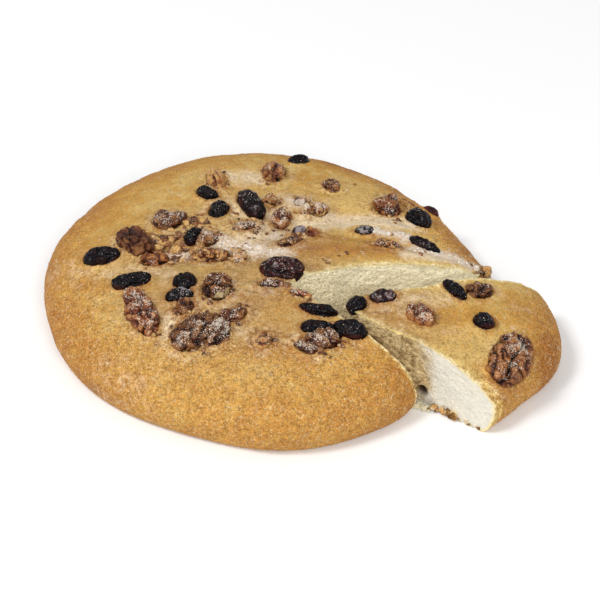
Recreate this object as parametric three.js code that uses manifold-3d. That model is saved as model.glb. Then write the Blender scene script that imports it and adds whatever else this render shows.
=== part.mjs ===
// Raisin walnut cake: a round, flat loaf of sweet sugared dough, baked with raisins and
// walnut pieces pressed into its top. One wedge is cut and drawn part of the way out.
// Millimetres, +Z up, origin on the flat underside, below the middle of the round.

import * as THREE from "three";
import { mergeVertices } from "three/addons/utils/BufferGeometryUtils.js";
import Module from "manifold-3d";

const wasm = await Module();
wasm.setup();

// Driving dimensions of the loaf
const cakeRadius = 110.1;
const crownHeight = 39; // top of the dome
const bellyHeight = 12; // where the side is widest
const footInset = 6; // the underside stands this far inside the widest line
const crownFullness = 2.8; // 2 is an ellipse, more is a flatter top with a steeper flank
const topRings = 12;
const footRings = 3;
const rimPoints = 70;
const pocketGap = 0.4; // clearance between a topping and the crust or a neighbour

// How far the rim is out of round: lobes, the heading of one lobe in degrees, and its swell
const rimWaves = [
  { lobes: 2, heading: -38.8, swell: 4.6 },
  { lobes: 3, heading: -21.8, swell: 2.3 },
  { lobes: 4, heading: -11.2, swell: 1.4 },
  { lobes: 5, heading: -15.5, swell: 1 },
  { lobes: 6, heading: -19.6, swell: 1.1 },
  { lobes: 7, heading: 24.2, swell: 0.4 },
];

// Local swells of the rim, each centred on a heading and fading over a width in degrees
const roundRimSwells = [
  { heading: -46, width: 6, swell: -5.5 },
];
const sliceRimSwells = [
  { heading: -33, width: 8, swell: -4.2 },
  { heading: -45, width: 9, swell: -3.5 },
];

// Folds of the top, each a swell or a hollow along a line that fades over a width
const folds = [
  { from: [-20.6, 2.6], to: [7.4, 15.7], width: 10, rise: -3 },
  { from: [7.4, 15.7], to: [35.4, 27.6], width: 9, rise: -2.6 },
  { from: [35.4, 27.6], to: [67.4, 32.6], width: 8, rise: -2.2 },
  { from: [39.4, 11.7], to: [87.4, 3.6], width: 6, rise: -2.6 },
  { from: [-48.6, -7.3], to: [1.4, -6.3], width: 7, rise: -2.4 },
  { from: [25.4, -5.3], to: [91.4, -5.3], width: 8, rise: 1.6 },
  { from: [-52.6, -21.4], to: [9.4, -37.4], width: 11, rise: 1.2 },
];

// The cut faces in plan: where each starts, its heading, how far and where it bows towards the
// gap, and how far its foot is spread towards the gap at the rim
const notchCut = {
  near: { from: [9.9, -31.6], heading: -38.6, bow: 0, bowAt: 50, foot: 2.5, seed: 21 },
  far: { from: [18.2, -23.4], heading: 14.8, bow: 4.5, bowAt: 71, foot: 4, seed: 22 },
};
const sliceCut = {
  near: { from: [13.7, -33], heading: -37, bow: -3, bowAt: 34, foot: 2.5, seed: 23 },
  far: { from: [19.4, -20.2], heading: 14, bow: 0, bowAt: 50, foot: 2, seed: 24 },
};
const bowWidth = 27;
const cutReach = 136;
const faceStations = 16;
const faceRows = 7;
const crumbDepth = 1.1; // deepest torn hollow of a cut face

// Where the slice stands: its turn, and its travel from its place in the round
const sliceTurn = 5;
const slicePivot = [9.9, -31.7];
const sliceTravel = [27, -22];

// Raisins: centre in plan, heading of the long way, length, width and height, and bend
const raisins = [
  { name: "raisin_01", at: [-80.2, -3.1], heading: -4, size: [19.2, 11.2, 10.1], bend: 0 },
  { name: "raisin_02", at: [-64.1, -26], heading: 4, size: [19.3, 9.1, 8.3], bend: 0.08 },
  { name: "raisin_03", at: [-30.8, 44.9], heading: -43, size: [14.1, 7.4, 8.1], bend: 0 },
  { name: "raisin_04", at: [-24.1, 28.6], heading: 80, size: [14, 9.6, 10], bend: 0 },
  { name: "raisin_05", at: [-8.1, 32.7], heading: -66, size: [24.5, 10.8, 11.5], bend: 0 },
  { name: "raisin_06", at: [15.7, 83.5], heading: 20, size: [11.2, 7.9, 6.9], bend: 0 },
  { name: "raisin_07", at: [-35.9, 5.7], heading: 60, size: [11.5, 7.6, 9], bend: 0 },
  { name: "raisin_08", at: [-38.3, -30.5], heading: -32, size: [11.2, 10, 8.8], bend: 0 },
  { name: "raisin_09", at: [-40.4, -38.9], heading: 8, size: [13.6, 8.6, 7.7], bend: 0 },
  { name: "raisin_10", at: [7.8, -21], heading: -2, size: [21.3, 14.4, 11.7], bend: 0 },
  { name: "raisin_11", at: [16.4, 12.4], heading: 0, size: [7.2, 6.8, 7.4], bend: 0 },
  { name: "raisin_12", at: [48.3, 15.3], heading: -6, size: [9.6, 5.8, 4.8], bend: 0 },
  { name: "raisin_13", at: [78, 8.8], heading: -28, size: [16.7, 5.7, 4.7], bend: 0 },
  { name: "raisin_14", at: [76, 31.4], heading: -60, size: [15.3, 11.3, 11.2], bend: 0 },
  { name: "raisin_15", at: [83, 46.9], heading: -30, size: [9.3, 6.3, 6], bend: 0 },
  { name: "raisin_16", at: [26.9, -50], heading: -3, size: [22.8, 5.9, 6.4], bend: 0.1 },
  { name: "raisin_17", at: [25.2, -61.6], heading: -4, size: [17.4, 8.3, 8.1], bend: 0 },
  { name: "raisin_18", at: [39.5, -60.7], heading: -2, size: [17.2, 10.3, 9], bend: 0 },
];
const sliceRaisins = [
  { name: "slice_raisin_1", at: [64.2, -16.7], heading: -56, size: [15.3, 6.5, 8], bend: 0 },
  { name: "slice_raisin_2", at: [29.3, -21.5], heading: 10, size: [12.9, 8.8, 6.8], bend: 0 },
  { name: "slice_raisin_3", at: [16.1, -27.2], heading: 50, size: [10.9, 7.7, 7.2], bend: 0 },
  { name: "slice_raisin_4", at: [74.8, -37.5], heading: 0, size: [10.2, 8.7, 8.4], bend: 0 },
];

// Walnut pieces: centre in plan, heading of the long way, length, width and height
const walnuts = [
  { name: "walnut_01", at: [-63.9, 4.5], heading: -52, size: [23, 15, 11.5] },
  { name: "walnut_02", at: [-54.6, -10.5], heading: 10, size: [13.9, 10.2, 7.4] },
  { name: "walnut_03", at: [-49.3, 22.1], heading: -40, size: [16.5, 13.4, 10] },
  { name: "walnut_04", at: [-30, 5.8], heading: 60, size: [12.5, 9.5, 7.5] },
  { name: "walnut_05", at: [-26.8, 59.1], heading: -76, size: [18.5, 8.8, 12.5] },
  { name: "walnut_06", at: [3.3, 65.1], heading: 80, size: [20, 10.3, 12.5] },
  { name: "walnut_07", at: [1, 35.1], heading: 50, size: [9.9, 6.6, 8.9] },
  { name: "walnut_08", at: [7.1, 24.3], heading: 70, size: [11.1, 8.3, 7.3] },
  { name: "walnut_09", at: [25.7, 33], heading: 20, size: [8.6, 8.6, 6.9] },
  { name: "walnut_10", at: [11.1, 2.4], heading: 10, size: [10.7, 8.6, 6.6] },
  { name: "walnut_12", at: [-25.8, -4.7], heading: 22, size: [20.5, 8, 8.5] },
  { name: "walnut_13", at: [-13.2, -7.8], heading: -10, size: [7.9, 8.4, 8] },
  { name: "walnut_14", at: [-11.4, 16.8], heading: 12, size: [11.3, 5.5, 5.4] },
  { name: "walnut_15", at: [-23.4, -35.5], heading: -8, size: [15, 13, 10] },
  { name: "walnut_16", at: [-57.3, -48.1], heading: -66, size: [27, 13, 11.5] },
  { name: "walnut_17", at: [-37.1, -46.7], heading: 30, size: [8.5, 9.3, 9] },
  { name: "walnut_18", at: [-33.6, -63.9], heading: 57, size: [23.6, 16.9, 11.2] },
  { name: "walnut_19", at: [-14.4, -53.2], heading: 22, size: [13.8, 7.8, 7.4] },
  { name: "walnut_20", at: [-21.8, -64.7], heading: 40, size: [13.7, 11.7, 10.3] },
  { name: "walnut_21", at: [-0.8, -69.1], heading: 45, size: [10.9, 7.7, 6.5] },
  { name: "walnut_22", at: [17.4, -39.7], heading: -14, size: [11.8, 5.1, 4.5] },
  { name: "walnut_23", at: [2.7, -33.6], heading: 0, size: [12.9, 5.8, 6.4] },
  { name: "walnut_24", at: [32.6, 55.1], heading: 10, size: [9.5, 9, 7.1] },
  { name: "walnut_25", at: [58.3, 2.7], heading: 0, size: [14.7, 9.2, 6.5] },
  { name: "walnut_26", at: [16.6, 36.9], heading: 60, size: [9.2, 5.2, 5] },
  { name: "walnut_27", at: [61.2, 40.7], heading: -24, size: [15.6, 12.8, 11.4] },
  { name: "walnut_28", at: [73.3, 48.8], heading: -30, size: [7.9, 3.6, 3.2] },
  { name: "walnut_29", at: [107.2, 0.4], heading: 70, size: [12.5, 7, 10.5] },
  { name: "walnut_30", at: [26.5, -67.4], heading: -8, size: [16.4, 12.4, 10.3] },
  { name: "walnut_31", at: [19.2, -72.7], heading: -30, size: [12.7, 6, 5] },
  { name: "walnut_32", at: [22.8, 10.7], heading: 0, size: [6.2, 6.4, 4.8] },
];
const sliceWalnuts = [
  { name: "slice_walnut_1", at: [76.1, -16.4], heading: 2, size: [12.9, 9.7, 6.8] },
  { name: "slice_walnut_2", at: [45.7, -33.6], heading: -44, size: [15.3, 10.8, 8.4] },
];
const walnutHalf = { name: "slice_walnut_half", at: [84.4, -56.2], heading: 62, size: [31, 18, 11.5] };
const sunkShare = 0.45; // how much of a topping's height lies below the crust

const toRadians = THREE.MathUtils.degToRad;

// A repeatable stream of random numbers from 0 to 1
function randomFrom(seed) {
  let state = seed * 7919 + 17;
  return () => {
    state = (Math.imul(state ^ (state >>> 15), 2246822519) + 3266489917) | 0;
    const mixed = Math.imul(state ^ (state >>> 13), 668265263);
    return ((mixed ^ (mixed >>> 16)) >>> 0) / 4294967296;
  };
}

// A smooth random field over two lengths, mostly between -1 and 1
function smoothField(seed, wavelength) {
  const random = randomFrom(seed);
  const waves = Array.from({ length: 6 }, () => {
    const heading = random() * Math.PI;
    const number = (2 * Math.PI * (0.7 + 0.9 * random())) / wavelength;
    return [number * Math.cos(heading), number * Math.sin(heading), random() * 2 * Math.PI];
  });
  return (a, b) => waves.reduce((sum, [u, v, phase]) => sum + Math.sin(u * a + v * b + phase), 0) / 3;
}

function rimRadius(degrees, swells) {
  const waves = rimWaves.reduce(
    (sum, wave) => sum + wave.swell * Math.cos(toRadians(wave.lobes * (degrees - wave.heading))),
    0,
  );
  const local = swells.reduce((sum, bump) => {
    const away = THREE.MathUtils.euclideanModulo(degrees - bump.heading + 180, 360) - 180;
    return sum + bump.swell * Math.exp(-((away / bump.width) ** 2));
  }, 0);
  return cakeRadius + waves + local;
}

function distanceToFold(x, y, fold) {
  const along = [fold.to[0] - fold.from[0], fold.to[1] - fold.from[1]];
  const reach = along[0] ** 2 + along[1] ** 2;
  const share = ((x - fold.from[0]) * along[0] + (y - fold.from[1]) * along[1]) / reach;
  const held = THREE.MathUtils.clamp(share, 0, 1);
  return Math.hypot(x - fold.from[0] - held * along[0], y - fold.from[1] - held * along[1]);
}

const crustWaves = smoothField(5, 46);

// Height of the crust over a point in plan
function crustHeight(x, y, swells) {
  const rim = rimRadius(THREE.MathUtils.radToDeg(Math.atan2(y, x)), swells);
  const share = Math.min(1, Math.hypot(x, y) / rim);
  const dome = bellyHeight + (crownHeight - bellyHeight) * Math.sqrt(Math.max(0, 1 - share ** crownFullness));
  const folded = folds.reduce(
    (sum, fold) => sum + fold.rise * Math.exp(-((distanceToFold(x, y, fold) / fold.width) ** 2)),
    0,
  );
  return dome + (folded + 0.5 * crustWaves(x, y)) * (1 - share ** 6);
}

// Rings of the loaf's skin from the crown to the foot
function loafGeometry(swells) {
  const points = [0, 0, crustHeight(0, 0, swells)];
  const faces = [];
  let inner = [0];
  const addRing = (count, radiusAt, heightAt) => {
    const outer = [];
    for (let i = 0; i < count; i++) {
      const degrees = (i / count) * 360;
      const radius = radiusAt(degrees);
      const x = radius * Math.cos(toRadians(degrees));
      const y = radius * Math.sin(toRadians(degrees));
      outer.push(points.length / 3);
      points.push(x, y, heightAt(x, y));
    }
    zip(faces, inner, outer);
    inner = outer;
  };
  for (let k = 1; k <= topRings; k++) {
    const share = 1 - (1 - k / topRings) ** 1.6;
    const radiusAt = (degrees) => rimRadius(degrees, swells) * share;
    addRing(Math.min(6 * k, rimPoints), radiusAt, (x, y) => crustHeight(x, y, swells));
  }
  for (let k = 1; k <= footRings; k++) {
    const fall = (k / footRings) * (Math.PI / 2);
    const radiusAt = (degrees) => rimRadius(degrees, swells) - footInset * (1 - Math.cos(fall));
    addRing(rimPoints, radiusAt, () => bellyHeight * (1 - Math.sin(fall)));
  }
  const floor = points.length / 3;
  points.push(0, 0, 0);
  inner.forEach((v, i) => faces.push(floor, inner[(i + 1) % inner.length], v));
  return indexedGeometry(points, faces);
}

// Joins two rings of points, which may differ in number, by a band of triangles
function zip(faces, inner, outer) {
  let i = 0;
  let j = 0;
  const innerSteps = inner.length > 1 ? inner.length : 0;
  while (i < innerSteps || j < outer.length) {
    const a = inner[i % inner.length];
    const b = outer[j % outer.length];
    const outerNext = innerSteps === 0 || (j + 1) / outer.length <= (i + 1) / innerSteps;
    if (j < outer.length && outerNext) {
      faces.push(a, b, outer[(j + 1) % outer.length]);
      j++;
    } else {
      faces.push(a, b, inner[(i + 1) % inner.length]);
      i++;
    }
  }
}

function indexedGeometry(points, faces) {
  const geometry = new THREE.BufferGeometry();
  geometry.setAttribute("position", new THREE.Float32BufferAttribute(points, 3));
  geometry.setIndex(faces);
  return geometry;
}

// A wedge standing through the loaf, whose two faces carry the torn crumb.
// Side is 1 for the wedge taken out of the round and -1 for the one the slice is made of.
function wedgeGeometry(cut, side) {
  const station = (face, normalTurn, k) => {
    const share = k / faceStations;
    const reach = share * cutReach;
    const heading = toRadians(face.heading);
    const normal = heading + toRadians(normalTurn);
    const torn = smoothField(face.seed, 17);
    const fine = smoothField(face.seed + 50, 9);
    return (z) => {
      const spread = face.foot * share * Math.max(0, 1 - z / 22) ** 2 * 1.6;
      const bow = face.bow * Math.exp(-(((reach - face.bowAt) / bowWidth) ** 2));
      const crumb = -crumbDepth * (0.5 + 0.5 * Math.tanh(torn(reach, z) + 0.5 * fine(reach, z)));
      const shift = side * (bow + spread + crumb);
      return [
        face.from[0] + reach * Math.cos(heading) + shift * Math.cos(normal),
        face.from[1] + reach * Math.sin(heading) + shift * Math.sin(normal),
        z,
      ];
    };
  };
  const outline = [];
  for (let k = 0; k <= faceStations; k++) outline.push(station(cut.near, 90, k));
  for (let k = faceStations; k >= 0; k--) outline.push(station(cut.far, -90, k));
  const points = [];
  const faces = [];
  for (let row = 0; row <= faceRows; row++) {
    const z = -4 + (row / faceRows) * 52;
    outline.forEach((pointAt) => points.push(...pointAt(z)));
  }
  const count = outline.length;
  for (let row = 0; row < faceRows; row++) {
    for (let i = 0; i < count; i++) {
      const next = (i + 1) % count;
      const low = row * count;
      const high = low + count;
      faces.push(low + i, low + next, high + next, low + i, high + next, high + i);
    }
  }
  const lastRow = faceRows * count;
  for (let k = 0; k < faceStations; k++) {
    const mirror = count - 1 - k;
    faces.push(k, mirror, k + 1, k + 1, mirror, mirror - 1);
    faces.push(lastRow + k, lastRow + k + 1, lastRow + mirror, lastRow + k + 1, lastRow + mirror - 1, lastRow + mirror);
  }
  return indexedGeometry(points, faces);
}

// A ball of triangles whose points are moved by a shaping function of their direction
function shapedBall(detail, shape) {
  const bare = new THREE.IcosahedronGeometry(1, detail);
  bare.deleteAttribute("normal");
  bare.deleteAttribute("uv");
  const ball = mergeVertices(bare, 1e-4);
  const position = ball.attributes.position;
  const point = new THREE.Vector3();
  for (let i = 0; i < position.count; i++) {
    point.fromBufferAttribute(position, i);
    shape(point);
    position.setXYZ(i, point.x, point.y, point.z);
  }
  ball.computeVertexNormals();
  return ball;
}

// A shrivelled raisin: blunt ends, shallow creases along it, sometimes bent
function raisinGeometry({ size, bend }, seed) {
  const random = randomFrom(seed);
  const phase = random() * 6;
  const creases = 4 + Math.floor(random() * 3);
  return shapedBall(size[0] > 20 ? 2 : 1, (p) => {
    const around = Math.atan2(p.z, p.y);
    const crease = 1 + 0.07 * Math.cos(creases * around + phase) * (1 - p.x ** 2);
    const blunt = 1 + 0.1 * p.x ** 2 * (1 - p.x ** 2) * 4;
    p.set(p.x * 0.5 * size[0], p.y * 0.5 * size[1] * crease * blunt, p.z * 0.5 * size[2] * crease * blunt);
    p.y += bend * size[0] * ((2 * p.x) / size[0]) ** 2;
  });
}

// A broken walnut piece: lumpy lobes with one flat where it snapped
function walnutGeometry({ size }, seed) {
  const random = randomFrom(seed + 300);
  const lumps = Array.from({ length: 3 }, () => {
    const direction = new THREE.Vector3(random() - 0.5, random() - 0.5, random() - 0.5).normalize();
    return { direction: direction.multiplyScalar(2.6 + 1.8 * random()), phase: random() * 6 };
  });
  const snap = new THREE.Vector3(random() - 0.5, random() - 0.5, 0.3 + 0.5 * random()).normalize();
  return shapedBall(size[0] > 21 ? 2 : 1, (p) => {
    const lump = lumps.reduce((sum, { direction, phase }) => sum + Math.sin(p.dot(direction) + phase), 0);
    p.multiplyScalar(1 + 0.09 * lump);
    const over = p.dot(snap) - 0.78;
    if (over > 0) p.addScaledVector(snap, -over);
    p.set(p.x * 0.5 * size[0], p.y * 0.5 * size[1], p.z * 0.5 * size[2]);
  });
}

// A walnut half lying on its flat side: two rows of lobes beside a long groove
function walnutHalfGeometry({ size }) {
  return shapedBall(3, (p) => {
    const groove = 0.34 * Math.exp(-((p.y / 0.16) ** 2)) * Math.max(0, p.z);
    const lobes = 0.1 * Math.sin(9 * p.x + 2.2 * Math.abs(p.y)) * (1 - p.x ** 4);
    const reach = 1 + lobes - groove;
    p.set(p.x * 0.5 * size[0], p.y * reach * 0.5 * size[1], p.z * reach * 0.5 * size[2]);
  });
}

// Sets a topping on the crust, its height along the crust's normal, and returns its solid
// together with the slightly larger solid that its pocket is pressed with
function seatedTopping(geometry, { at, heading, size }, swells) {
  const height = (x, y) => crustHeight(x, y, swells);
  const reach = 4;
  const slopeX = (height(at[0] + reach, at[1]) - height(at[0] - reach, at[1])) / (2 * reach);
  const slopeY = (height(at[0], at[1] + reach) - height(at[0], at[1] - reach)) / (2 * reach);
  const up = new THREE.Vector3(-slopeX, -slopeY, 1).normalize();
  const long = new THREE.Vector3(Math.cos(toRadians(heading)), Math.sin(toRadians(heading)), 0);
  long.addScaledVector(up, -long.dot(up)).normalize();
  const wide = new THREE.Vector3().crossVectors(up, long);
  const seat = new THREE.Vector3(at[0], at[1], height(...at)).addScaledVector(up, (0.5 - sunkShare) * size[2]);
  const placing = new THREE.Matrix4().makeBasis(long, wide, up).setPosition(seat);
  const position = geometry.attributes.position;
  const normal = geometry.attributes.normal;
  const grown = geometry.clone();
  for (let i = 0; i < position.count; i++) {
    grown.attributes.position.setXYZ(
      i,
      position.getX(i) + pocketGap * normal.getX(i),
      position.getY(i) + pocketGap * normal.getY(i),
      position.getZ(i) + pocketGap * normal.getZ(i),
    );
  }
  return { solid: solidOf(geometry.clone().applyMatrix4(placing)), pocket: solidOf(grown.applyMatrix4(placing)) };
}

function solidOf(geometry) {
  const bare = geometry.clone();
  bare.deleteAttribute("normal");
  const merged = mergeVertices(bare, 1e-4);
  return new wasm.Manifold(
    new wasm.Mesh({
      numProp: 3,
      vertProperties: merged.attributes.position.array,
      triVerts: new Uint32Array(merged.index.array),
    }),
  );
}

function largestPiece(solid) {
  return solid.decompose().reduce((best, piece) => (piece.volume() > best.volume() ? piece : best));
}

function meshOf(name, solid, material) {
  const data = largestPiece(solid).getMesh();
  const geometry = new THREE.BufferGeometry();
  geometry.setAttribute("position", new THREE.BufferAttribute(data.vertProperties, 3));
  geometry.setIndex(new THREE.BufferAttribute(data.triVerts, 1));
  const mesh = new THREE.Mesh(geometry, material.clone());
  mesh.name = name;
  return mesh;
}

const crustMaterial = new THREE.MeshStandardMaterial({ color: 0xcb9850, roughness: 0.8, metalness: 0 });
const raisinMaterial = new THREE.MeshStandardMaterial({ color: 0x211b22, roughness: 0.45, metalness: 0 });
const walnutMaterial = new THREE.MeshStandardMaterial({ color: 0x8a5a3a, roughness: 0.65, metalness: 0 });

// Presses toppings into a body one after another and adds everything to a group
function dress(group, bodyName, body, toppings, swells, knife) {
  const pockets = [];
  let pressed = body;
  for (const { name, geometry, place, material } of toppings) {
    const { solid, pocket } = seatedTopping(geometry, place, swells);
    let kept = knife ? solid.subtract(knife) : solid;
    for (const earlier of pockets) kept = kept.subtract(earlier);
    pressed = pressed.subtract(pocket);
    pockets.push(pocket);
    group.add(meshOf(name, kept, material));
  }
  group.add(meshOf(bodyName, pressed, crustMaterial));
}

function toppingsOf(raisinPlaces, walnutPlaces, firstSeed) {
  return [
    ...raisinPlaces.map((place, i) => ({
      name: place.name,
      geometry: raisinGeometry(place, firstSeed + i),
      place,
      material: raisinMaterial,
    })),
    ...walnutPlaces.map((place, i) => ({
      name: place.name,
      geometry: walnutGeometry(place, firstSeed + i),
      place,
      material: walnutMaterial,
    })),
  ];
}

const cake = new THREE.Group();
cake.name = "raisin_walnut_cake";
const notch = solidOf(wedgeGeometry(notchCut, 1));
const round = solidOf(loafGeometry(roundRimSwells)).subtract(notch);
dress(cake, "cake_round", round, toppingsOf(raisins, walnuts, 100), roundRimSwells, notch);

const slice = new THREE.Group();
slice.name = "slice_set";
const sliceBody = solidOf(loafGeometry(sliceRimSwells)).intersect(solidOf(wedgeGeometry(sliceCut, -1)));
const half = {
  name: walnutHalf.name,
  geometry: walnutHalfGeometry(walnutHalf),
  place: walnutHalf,
  material: walnutMaterial,
};
const sliceToppings = [...toppingsOf(sliceRaisins, sliceWalnuts, 200), half];
dress(slice, "cake_slice", sliceBody, sliceToppings, sliceRimSwells, null);

// The slice turns about the tip of the cut and moves outward
const turned = new THREE.Vector3(slicePivot[0], slicePivot[1], 0).applyAxisAngle(
  new THREE.Vector3(0, 0, 1),
  toRadians(sliceTurn),
);
slice.rotation.z = toRadians(sliceTurn);
slice.position.set(
  slicePivot[0] - turned.x + sliceTravel[0],
  slicePivot[1] - turned.y + sliceTravel[1],
  0,
);
cake.add(slice);

export default cake;
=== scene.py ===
# Raisin walnut cake: a flat round of sweet sugared dough with raisins and walnuts pressed into
# its top, one wedge cut and drawn part of the way out. Lengths are worked out in millimetres
# and written to the meshes in metres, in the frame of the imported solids.

import math
import bmesh
import bpy
import numpy as np
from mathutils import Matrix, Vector, kdtree, noise


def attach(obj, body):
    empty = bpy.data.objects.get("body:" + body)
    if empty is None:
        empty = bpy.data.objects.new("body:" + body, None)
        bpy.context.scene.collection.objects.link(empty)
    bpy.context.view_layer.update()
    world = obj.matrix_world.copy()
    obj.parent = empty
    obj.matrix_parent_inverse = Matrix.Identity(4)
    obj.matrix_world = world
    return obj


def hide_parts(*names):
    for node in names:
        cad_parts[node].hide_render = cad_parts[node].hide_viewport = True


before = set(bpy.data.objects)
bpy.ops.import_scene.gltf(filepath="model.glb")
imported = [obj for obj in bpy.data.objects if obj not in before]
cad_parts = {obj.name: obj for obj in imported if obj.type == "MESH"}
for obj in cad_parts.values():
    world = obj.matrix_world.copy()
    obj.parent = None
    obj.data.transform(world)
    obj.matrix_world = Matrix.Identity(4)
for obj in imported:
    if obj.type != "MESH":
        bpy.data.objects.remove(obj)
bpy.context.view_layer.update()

# Camera: a little above the table in front of the cake, looking down on it


def add_object(name, data):
    made = bpy.data.objects.new(name, data)
    bpy.context.scene.collection.objects.link(made)
    return made


camera_lens = bpy.data.cameras.new("camera")
camera_lens.lens = 108
camera = add_object("camera", camera_lens)
camera.location = (0.0164, -0.7092, 0.5588)
camera.rotation_euler = (math.radians(52), 0, 0)
bpy.context.scene.camera = camera

# The round of dough: proved and baked in one flat piece, so its top is domed and its foot is
# drawn in where it stood on the tray. Its crust is sugared and browned, and pressed in under
# every raisin and walnut. The cut shows its pale crumb.

mm = 0.001
cake_radius = 110.1
crown_height = 39.0
belly_height = 12.0
foot_inset = 6.0
crown_fullness = 2.8
skin_step = 0.95

# Lobes of the rim: how many, the heading of one in degrees, and its swell
rim_waves = (
    (2, -38.8, 4.6), (3, -21.8, 2.3), (4, -11.2, 1.4), (5, -15.5, 1.0), (6, -19.6, 1.1), (7, 24.2, 0.4),
)

# Local swells of the rim: heading and width in degrees, and swell
round_swells = ((-46, 6, -5.5),)

# Folds of the top: from, to, width and rise
folds = (
    ((-20.6, 2.6), (7.4, 15.7), 10, -3.0),
    ((7.4, 15.7), (35.4, 27.6), 9, -2.6),
    ((35.4, 27.6), (67.4, 32.6), 8, -2.2),
    ((39.4, 11.7), (87.4, 3.6), 6, -2.6),
    ((-48.6, -7.3), (1.4, -6.3), 7, -2.4),
    ((25.4, -5.3), (91.4, -5.3), 8, 1.6),
    ((-52.6, -21.4), (9.4, -37.4), 11, 1.2),
)

# Unevenness of the skin: wavelength, rise and seed. It rises away from a point low in the loaf,
# more upwards than outwards, and fades out at the foot
skin_relief = ((24, 0.5, 1), (9, 0.28, 2), (3.4, 0.1, 3), (1.9, 0.1, 4))
relief_origin = (0, 0, 4)
relief_upward = 3.2
smooth_foot = 9

# Where nuts make the skin more uneven: middle and reach in plan
nut_middle = (-2, -4)
nut_reach = 66

# Rings of the flat underside, as shares of the foot's radius
underside_rings = (0.94, 0.6)

# The pocket pressed in by a topping: its depth as a share of half the topping's height, and the
# collar of crust round it, with its rise, its distance and width, and how far out it is felt
pocket_share = 0.96
collar_rise = 1.2
collar_out = 0.8
collar_width = 1.5
collar_reach = 6

# Plan lines on the top: from, to, width and strength. Drifts are sugar in the hollows, some of
# it loose. Pale lines are dough that browned least, as the lip above the far cut did, and brown
# lines are swells that browned most and rims painted browner, in part as painted shade where
# they turn from the light
drifts = (
    ((-26, 6), (-4, -1), 7, 1.0), ((-4, -1), (9, -8), 6, 0.95), ((4, 14), (14, 12), 6, 0.75),
    ((-8, 18), (4, 16), 5, 0.45), ((-48, -6), (-39, -5), 3.2, 0.95), ((-46, 7), (-42, 9), 4, 0.45),
    ((14, 38), (24, 34), 7, 0.8), ((26, 32), (38, 27), 6, 0.5), ((2, 26), (12, 22), 5, 0.5),
    ((-48, 22), (-34, 20), 6, 0.3), ((52, 15), (70, 15), 2.8, 1.1), ((64, 15), (70, 12), 3.5, 1.1),
    ((72, 4), (92, 3), 6, 1.0), ((92, 3), (104, -2), 5, 1.05), ((100, 0), (106, -9), 4, 0.8),
    ((62, 26), (72, 24), 5, 0.4), ((-14, -36), (2, -38), 5, 0.25), ((-18, -66), (-8, -62), 4, 0.3),
    ((-44, -62), (-38, -72), 4, 0.3), ((18, -36), (24, -40), 4, 0.3),
)
pale_lines = (
    ((-22, 30), (6, 33), 13, 0.75), ((-20, 63), (0, 62), 10, 0.75), ((32, 24), (72, 27), 8, 1.2),
    ((-8, 12), (24, 20), 12, 0.9), ((-34, 8), (-10, -2), 9, 0.9), ((-46, -62), (-44, -53), 5, 0.8),
    ((-100, -2), (-72, -16), 12, 0.38), ((-20, -44), (-12, -60), 9, 0.5),
    ((30, -24), (64, -20), 8, 0.5), ((24, -36), (60, -44), 8, 0.3), ((86, -20), (104, -26), 6, 0.25),
    ((-60, -14), (-44, -26), 8, 0.5), ((-74, -70), (-52, -86), 12, 0.3),
)
far_lip = (((68, -6), (104, 2), 5, 1.0),)
brown_and_shade_lines = (
    ((18, -4), (68, -3), 6.5, 1.05), ((34, -102), (60, -88), 16, 0.4), ((38, -74), (60, -84), 14, 0.35),
    ((28, -34), (38, -36), 5, 0.5), ((107, -40), (104, -57), 6, 1.15), ((94, -24), (106, -42), 12, 0.5),
    ((-106, 0), (-74, 76), 22, 0.36), ((20, 98), (74, 74), 16, 0.55), ((84, 38), (104, 10), 7, 0.35),
    ((-104, -30), (-96, -48), 12, 0.5), ((-60, 66), (-20, 92), 14, 0.3), ((-30, -100), (20, -108), 12, 0.25),
    ((26, 8), (56, 3), 7, 0.7), ((-88, -18), (-78, -24), 6, 0.5), ((16, 64), (40, 62), 8, 0.3),
    ((-14, -77), (26, -72), 9, 0.45), ((-92, -44), (-82, -66), 9, 0.45), ((58, -34), (78, -30), 8, 0.45),
)


def rim_radius(degrees, swells):
    radius = np.full_like(degrees, cake_radius)
    for lobes, heading, swell in rim_waves:
        radius += swell * np.cos(np.radians(lobes * (degrees - heading)))
    for heading, width, swell in swells:
        away = (degrees - heading + 180) % 360 - 180
        radius += swell * np.exp(-((away / width) ** 2))
    return radius


def rim_share(x, y, swells):
    """How far out a place lies, from 0 at the crown to 1 at the rim"""
    return np.hypot(x, y) / rim_radius(np.degrees(np.arctan2(y, x)), swells)


def near_line(points, start, end, width):
    """1 on a line in plan, fading to 0 over a width"""
    x = points[:, 0] - start[0]
    y = points[:, 1] - start[1]
    along = np.subtract(end, start)
    held = np.clip((x * along[0] + y * along[1]) / max(along @ along, 1e-9), 0, 1)
    return np.exp(-((np.hypot(x - held * along[0], y - held * along[1]) / width) ** 2))


def strength(points, lines):
    total = np.zeros(len(points))
    for start, end, width, most in lines:
        total = np.maximum(total, most * near_line(points, start, end, width))
    return total


def around(points, middle, reach):
    """1 round a middle in plan, and 0 well past its reach"""
    return np.exp(-((np.hypot(points[:, 0] - middle[0], points[:, 1] - middle[1]) / reach) ** 4))


def dome_height(share):
    return belly_height + (crown_height - belly_height) * np.sqrt(1 - share**crown_fullness)


def crust_height(x, y, swells):
    share = np.minimum(1, rim_share(x, y, swells))
    places = np.stack([x, y], 1)
    folded = sum(rise * near_line(places, start, end, width) for start, end, width, rise in folds)
    return dome_height(share) + folded * (1 - share**6)


def field(points, wavelength, seed, stretch=(1, 1, 1)):
    """Smooth random values from about -1 to 1 at points, over a wavelength"""
    spread = np.asarray(points) / (np.array(stretch) * wavelength) + 7.31 * seed
    return np.array([noise.noise(point) for point in spread.tolist()]) * 1.6


def creases(points, wavelength, seed, stretch, width):
    """1 along winding lines, fading to either side"""
    return np.exp(-((field(points, wavelength, seed, stretch) / width) ** 2))


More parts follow.
